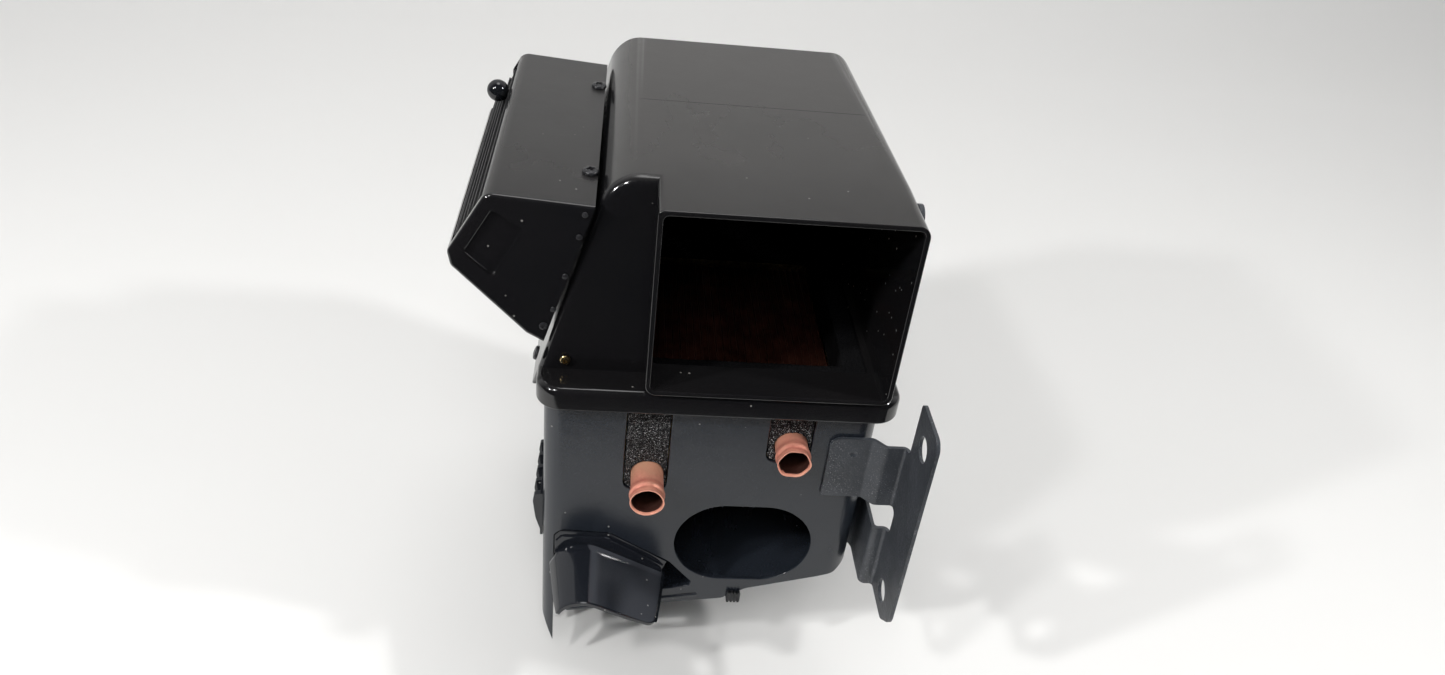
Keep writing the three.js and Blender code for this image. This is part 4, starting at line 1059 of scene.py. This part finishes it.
def foams():
    for name, cx, bot, px, pz in (("pipe_seal_left", -36, 157.5, -35, 169), ("pipe_seal_right", 45.5, 182.5, 46.6, 194.6)):
        out = rpoly([(cx - 12.4, bot + 0.4, 6), (cx + 12.4, bot + 0.4, 6), (cx + 12.4, 230), (cx - 12.4, 230)], 0.8)
        foam_piece(name.replace("pipe_seal", "foam_seal"), out, 0.4, 11, (px, pz, 9.9), name)
    g = box(-91.8, 91.8, 13, 218, 206, 230.4)
    cut(g, prism("z", rrect(-76, 33, 76, 187, 2), 200, 240))
    m = g.modifiers.new("re", "REMESH")
    m.mode, m.voxel_size = "VOXEL", 2.0
    settle(g)
    push(g, lambda p: 0.35 * noise.noise(p * 0.12) - 0.3)
    place(g, "core_surround_foam", "housing", M["gasket"], ("core_gasket",), 80, False)


# ------------------------------------------------------------------ screws and small pieces
def screw(node, p, d, r, h, shank, mat, drive="cross", name=None, body="housing", sr=1.5):
    prof = [(0, -shank), (sr, -shank), (sr, 0), (r * 0.97, 0.0), (r, h * 0.1), (r, h * 0.36)]
    steps = 10
    for k in range(1, steps + 1):
        a = math.radians(90 * k / steps)
        prof.append((r * (0.62 + 0.38 * math.cos(a)) if k < steps else r * 0.62, h * 0.36 + h * 0.5 * math.sin(a)))
    prof += [(r * 0.3, h * 0.96), (0, h)]
    if shank <= 0:
        prof = prof[3:]
        prof = [(0, 0.0)] + prof
    ob = turned(prof, (0, 0, 0), (0, 0, 1), 40)
    if drive == "cross":
        w, L = r * 0.17, r * 0.52
        bit = box(-w, w, -L, L, h * 0.42, h * 1.6)
        join(bit, box(-L, L, -w, w, h * 0.42, h * 1.6))
        cut(ob, bit)
    elif drive == "socket":
        cut(ob, prism("z", [(r * 0.42 * math.cos(math.radians(60 * k)), r * 0.42 * math.sin(math.radians(60 * k))) for k in range(6)], h * 0.35, h * 2))
    soften(ob, r * 0.045, 2, 34)
    q = Vector((0, 0, 1)).rotation_difference(Vector(d).normalized())
    ob.data.transform(Matrix.Translation(Vector(p)) @ q.to_matrix().to_4x4() @ Matrix.Rotation(0.5 + 0.37 * len(PIECES), 4, "Z"))
    return place(ob, name or node + "_head", body, mat, (node,), 42)


def fasteners():
    vt = 336 + (-75 + 125.8) * (332.3 - 336) / (125.8 - 71)
    screw("vent_screw_front", (-75, 54.5, vt + 0.3), (0, 0, 1), 4.6, 2.8, 6, M["black_screw"], "cross")
    screw("vent_screw_rear", (-75, 176, vt + 0.3), (0, 0, 1), 4.6, 2.8, 6, M["black_screw"], "cross")
    screw("web_screw", (-84.2, 12.0, 240.5), (0, -1, 0), 2.9, 2.2, 0, M["brass_screw"], "cross")
    screw("side_screw", (-99.4, 17, 240.2), (-0.957, 0, 0.289), 4.0, 2.4, 0, M["black_screw"], "socket")
    for i, (x, z) in enumerate(((-76.0, 328.0), (-78.6, 315), (-85.2, 291), (-91.2, 270), (-96.4, 259))):
        screw(f"vent_rivet_{i + 1}", (x, VY0 - 0.3, z), (0, -1, 0), 2.4 if i == 4 else 1.7, 1.0, 0, M["black_screw"], "socket" if i == 4 else "none")
    for nme, p, d in (("flange_screw_right_front", (FL_X1 + 0.3, 40, 227), (1, 0, 0)), ("flange_screw_right_rear", (FL_X1 + 0.3, 190, 227), (1, 0, 0)), ("flange_screw_left_rear", (FL_X0 - 0.3, 190, 227), (-1, 0, 0)), ("flange_screw_back_left", (-60, FL_Y1 + 0.3, 227), (0, 1, 0)), ("flange_screw_back_right", (60, FL_Y1 + 0.3, 227), (0, 1, 0))):
        screw(nme, p, d, 3.6, 2.2, 0, M["black_screw"], "cross")
    for nme, z in (("bracket_screw_upper", 128), ("bracket_screw_lower", 106)):
        screw(nme, (98.5, 60, z), (1, 0, 0), 4.0, 2.4, 2.2, M["black_screw"], "cross")
    lo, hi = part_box("edge_clip")
    x0, x1, y0, y1, z0, z1 = (lo.x * 1000 - OX, hi.x * 1000 - OX, lo.y * 1000 - OY, hi.y * 1000 - OY, lo.z * 1000, hi.z * 1000)
    zt, zb, n = z1 - 2.0, z0 + 4.6, 4
    clip = box(x0 + 0.6, x1 - 0.6, y0 + 0.2, y0 + 1.1, zb + 1.0, zt - 1.2)
    join(clip, box(x0 + 0.6, x1 - 0.6, y0 + 0.2, y1 - 0.3, zb + 1.0, zb + 1.9))
    join(clip, box(x0 + 0.6, x1 - 0.6, y1 - 1.2, y1 - 0.3, zb + 1.0, zt - 3.0))
    w = (x1 - x0 - 1.2) / n
    for k in range(n):
        a = x0 + 0.6 + w * k
        join(clip, prism("x", rpoly([(y0 + 0.05, zb), (y0 + 2.6, zb, 0.8), (y0 + 2.6, zt, 0.8), (y0 + 0.05, zt, 0.4)], 0.5), a + 0.35, a + w - 0.35))
    soften(clip, 0.15, 2, 35)
    place(clip, "edge_clip_spring", "housing", M["clip"], ("edge_clip",), 40)


def doors():
    for n in ("air_door", "floor_door"):
        refined(n, 0.35, 2, M["sheet"])
    for n in ("air_door_seal", "floor_door_seal"):
        refined(n, 0.5, 2, M["foam"])
    for n in ("air_door_shaft", "floor_door_shaft"):
        refined(n, 0.5, 2, M["steel"])
    for n in ("air_door_crank", "floor_door_crank"):
        refined(n, 0.35, 2, M["bracket"])


upper_housing()
lower_case()
floor_duct()
louvres()
scoop()
bracket()
vent_box()
vent_flap()
pipes()
core()
foams()
fasteners()
doors()

# ------------------------------------------------------------------ stage, light, camera
def stage_mat(name, c, rough):
    m = Mat(name, c, rough)
    m.color(m.mix(m.ramp(m.noise(1.3, 3, 0.5), [(0.3, 0.0), (0.7, 1.0)]), tuple(v * 0.985 for v in c), c))
    m.bump(m.noise(5, 2), 0.002, 0.4)
    sx = m.node("ShaderNodeSeparateXYZ")
    m.link(m.coord, sx.inputs[0])
    # painted light: the paper glows, more towards the back, standing in for light falling on the far backdrop
    m.b.inputs["Emission Color"].default_value = (1, 0.995, 0.98, 1)
    m.link(m.math("MULTIPLY", m.ramp(m.math("MULTIPLY", sx.outputs["Y"], 0.5), [(0.05, 0.0), (0.55, 1.0)]), 0.18), m.b.inputs["Emission Strength"])
    return m.m


def floor_sheet():
    """White paper: flat floor that sweeps up far behind the object."""
    bm = bmesh.new()
    prof = [(-0.348, 0.0), (-0.3, 0.0), (0.4, 0.0), (1.1, 0.0)]
    R = 0.9
    prof += [(1.1 + R * math.sin(a), R * (1 - math.cos(a))) for a in [math.radians(75 * k / 20) for k in range(1, 21)]]
    y, z = prof[-1]
    prof.append((y + 2.0 * math.cos(math.radians(75)), z + 2.0 * math.sin(math.radians(75))))
    rows = [[bm.verts.new((x, y, z)) for x in (-3.2, -1.5, 0, 1.5, 3.2)] for y, z in prof]
    for a, b in zip(rows, rows[1:]):
        for i in range(4):
            bm.faces.new((a[i], a[i + 1], b[i + 1], b[i]))
    me = bpy.data.meshes.new("paper")
    bm.to_mesh(me)
    bm.free()
    me.shade_smooth()
    ob = bpy.data.objects.new("paper", me)
    scene.collection.objects.link(ob)
    me.materials.append(stage_mat("paper_white", (0.70, 0.695, 0.68), 0.75))
    # the same floor carried on towards the viewer, for other viewpoints
    bm = bmesh.new()
    vs = [bm.verts.new(p) for p in ((-3.2, -4, -0.0005), (3.2, -4, -0.0005), (3.2, -0.348, -0.0005), (-3.2, -0.348, -0.0005))]
    bm.faces.new(vs)
    me2 = bpy.data.meshes.new("paper_front")
    bm.to_mesh(me2)
    bm.free()
    ob2 = bpy.data.objects.new("paper_front", me2)
    scene.collection.objects.link(ob2)
    me2.materials.append(me.materials[0])
    ob2.visible_glossy = False


floor_sheet()


def area(name, az, el, dist, size, power, target=(0.0, 0.0, 0.17), color=(1, 1, 1)):
    a, e = math.radians(az), math.radians(el)
    d = Vector((math.sin(a) * math.cos(e), -math.cos(a) * math.cos(e), math.sin(e)))
    li = bpy.data.lights.new(name, "AREA")
    li.shape, li.size, li.energy, li.color = "DISK", size, power, color
    ob = bpy.data.objects.new(name, li)
    scene.collection.objects.link(ob)
    ob.location = Vector(target) + d * dist
    ob.rotation_euler = d.to_track_quat("Z", "Y").to_euler()
    return ob


area("key_left", -60, 33, 1.7, 0.10, 15)
area("key_right", 72, 41, 1.7, 0.11, 12)
area("fill_front", -42, 47, 2.0, 0.15, 11)
area("overhead", 180, 82, 2.3, 1.0, 10)
area("front_soft", -6, 50, 2.1, 0.9, 18).visible_glossy = False

w = bpy.data.worlds.new("studio")
scene.world = w
w.use_nodes = True
nt = w.node_tree
bg = nt.nodes["Background"]
tc = nt.nodes.new("ShaderNodeTexCoord")
sep = nt.nodes.new("ShaderNodeSeparateXYZ")
nt.links.new(tc.outputs["Generated"], sep.inputs[0])
rp = nt.nodes.new("ShaderNodeValToRGB")
rp.color_ramp.elements[0].position = 0.42
rp.color_ramp.elements[0].color = (0.035, 0.036, 0.04, 1)
rp.color_ramp.elements[1].position = 0.72
rp.color_ramp.elements[1].color = (0.95, 0.95, 0.96, 1)
mad = nt.nodes.new("ShaderNodeMath")
mad.operation = "MULTIPLY_ADD"
mad.inputs[1].default_value = 0.5
mad.inputs[2].default_value = 0.5
nt.links.new(sep.outputs["Y"], mad.inputs[0])
nt.links.new(mad.outputs[0], rp.inputs["Fac"])
nt.links.new(rp.outputs["Color"], bg.inputs["Color"])
bg.inputs["Strength"].default_value = 0.9

cam_data = bpy.data.cameras.new("camera")
cam = bpy.data.objects.new("camera", cam_data)
scene.collection.objects.link(cam)
cam_data.sensor_width = 36.0
cam_data.lens = 26.416
cam_data.shift_y = 0.00341
cam_data.clip_start = 0.01
right = Vector((0.99311573, -0.05818494, 0.10166444))
up = Vector((-0.05029315, 0.57203894, 0.81868312))
back = Vector((-0.10579105, -0.81816011, 0.56517456))
mw = Matrix.Identity(4)
for i in range(3):
    mw[i][0], mw[i][1], mw[i][2] = right[i], up[i], back[i]
mw.translation = Vector(((OX - 60.5) / 1000, (OY - 463.0) / 1000, 0.585))
cam.matrix_world = mw
scene.camera = cam
scene.view_settings.view_transform = "Standard"
scene.view_settings.look = "None"
scene.view_settings.exposure = 0.0
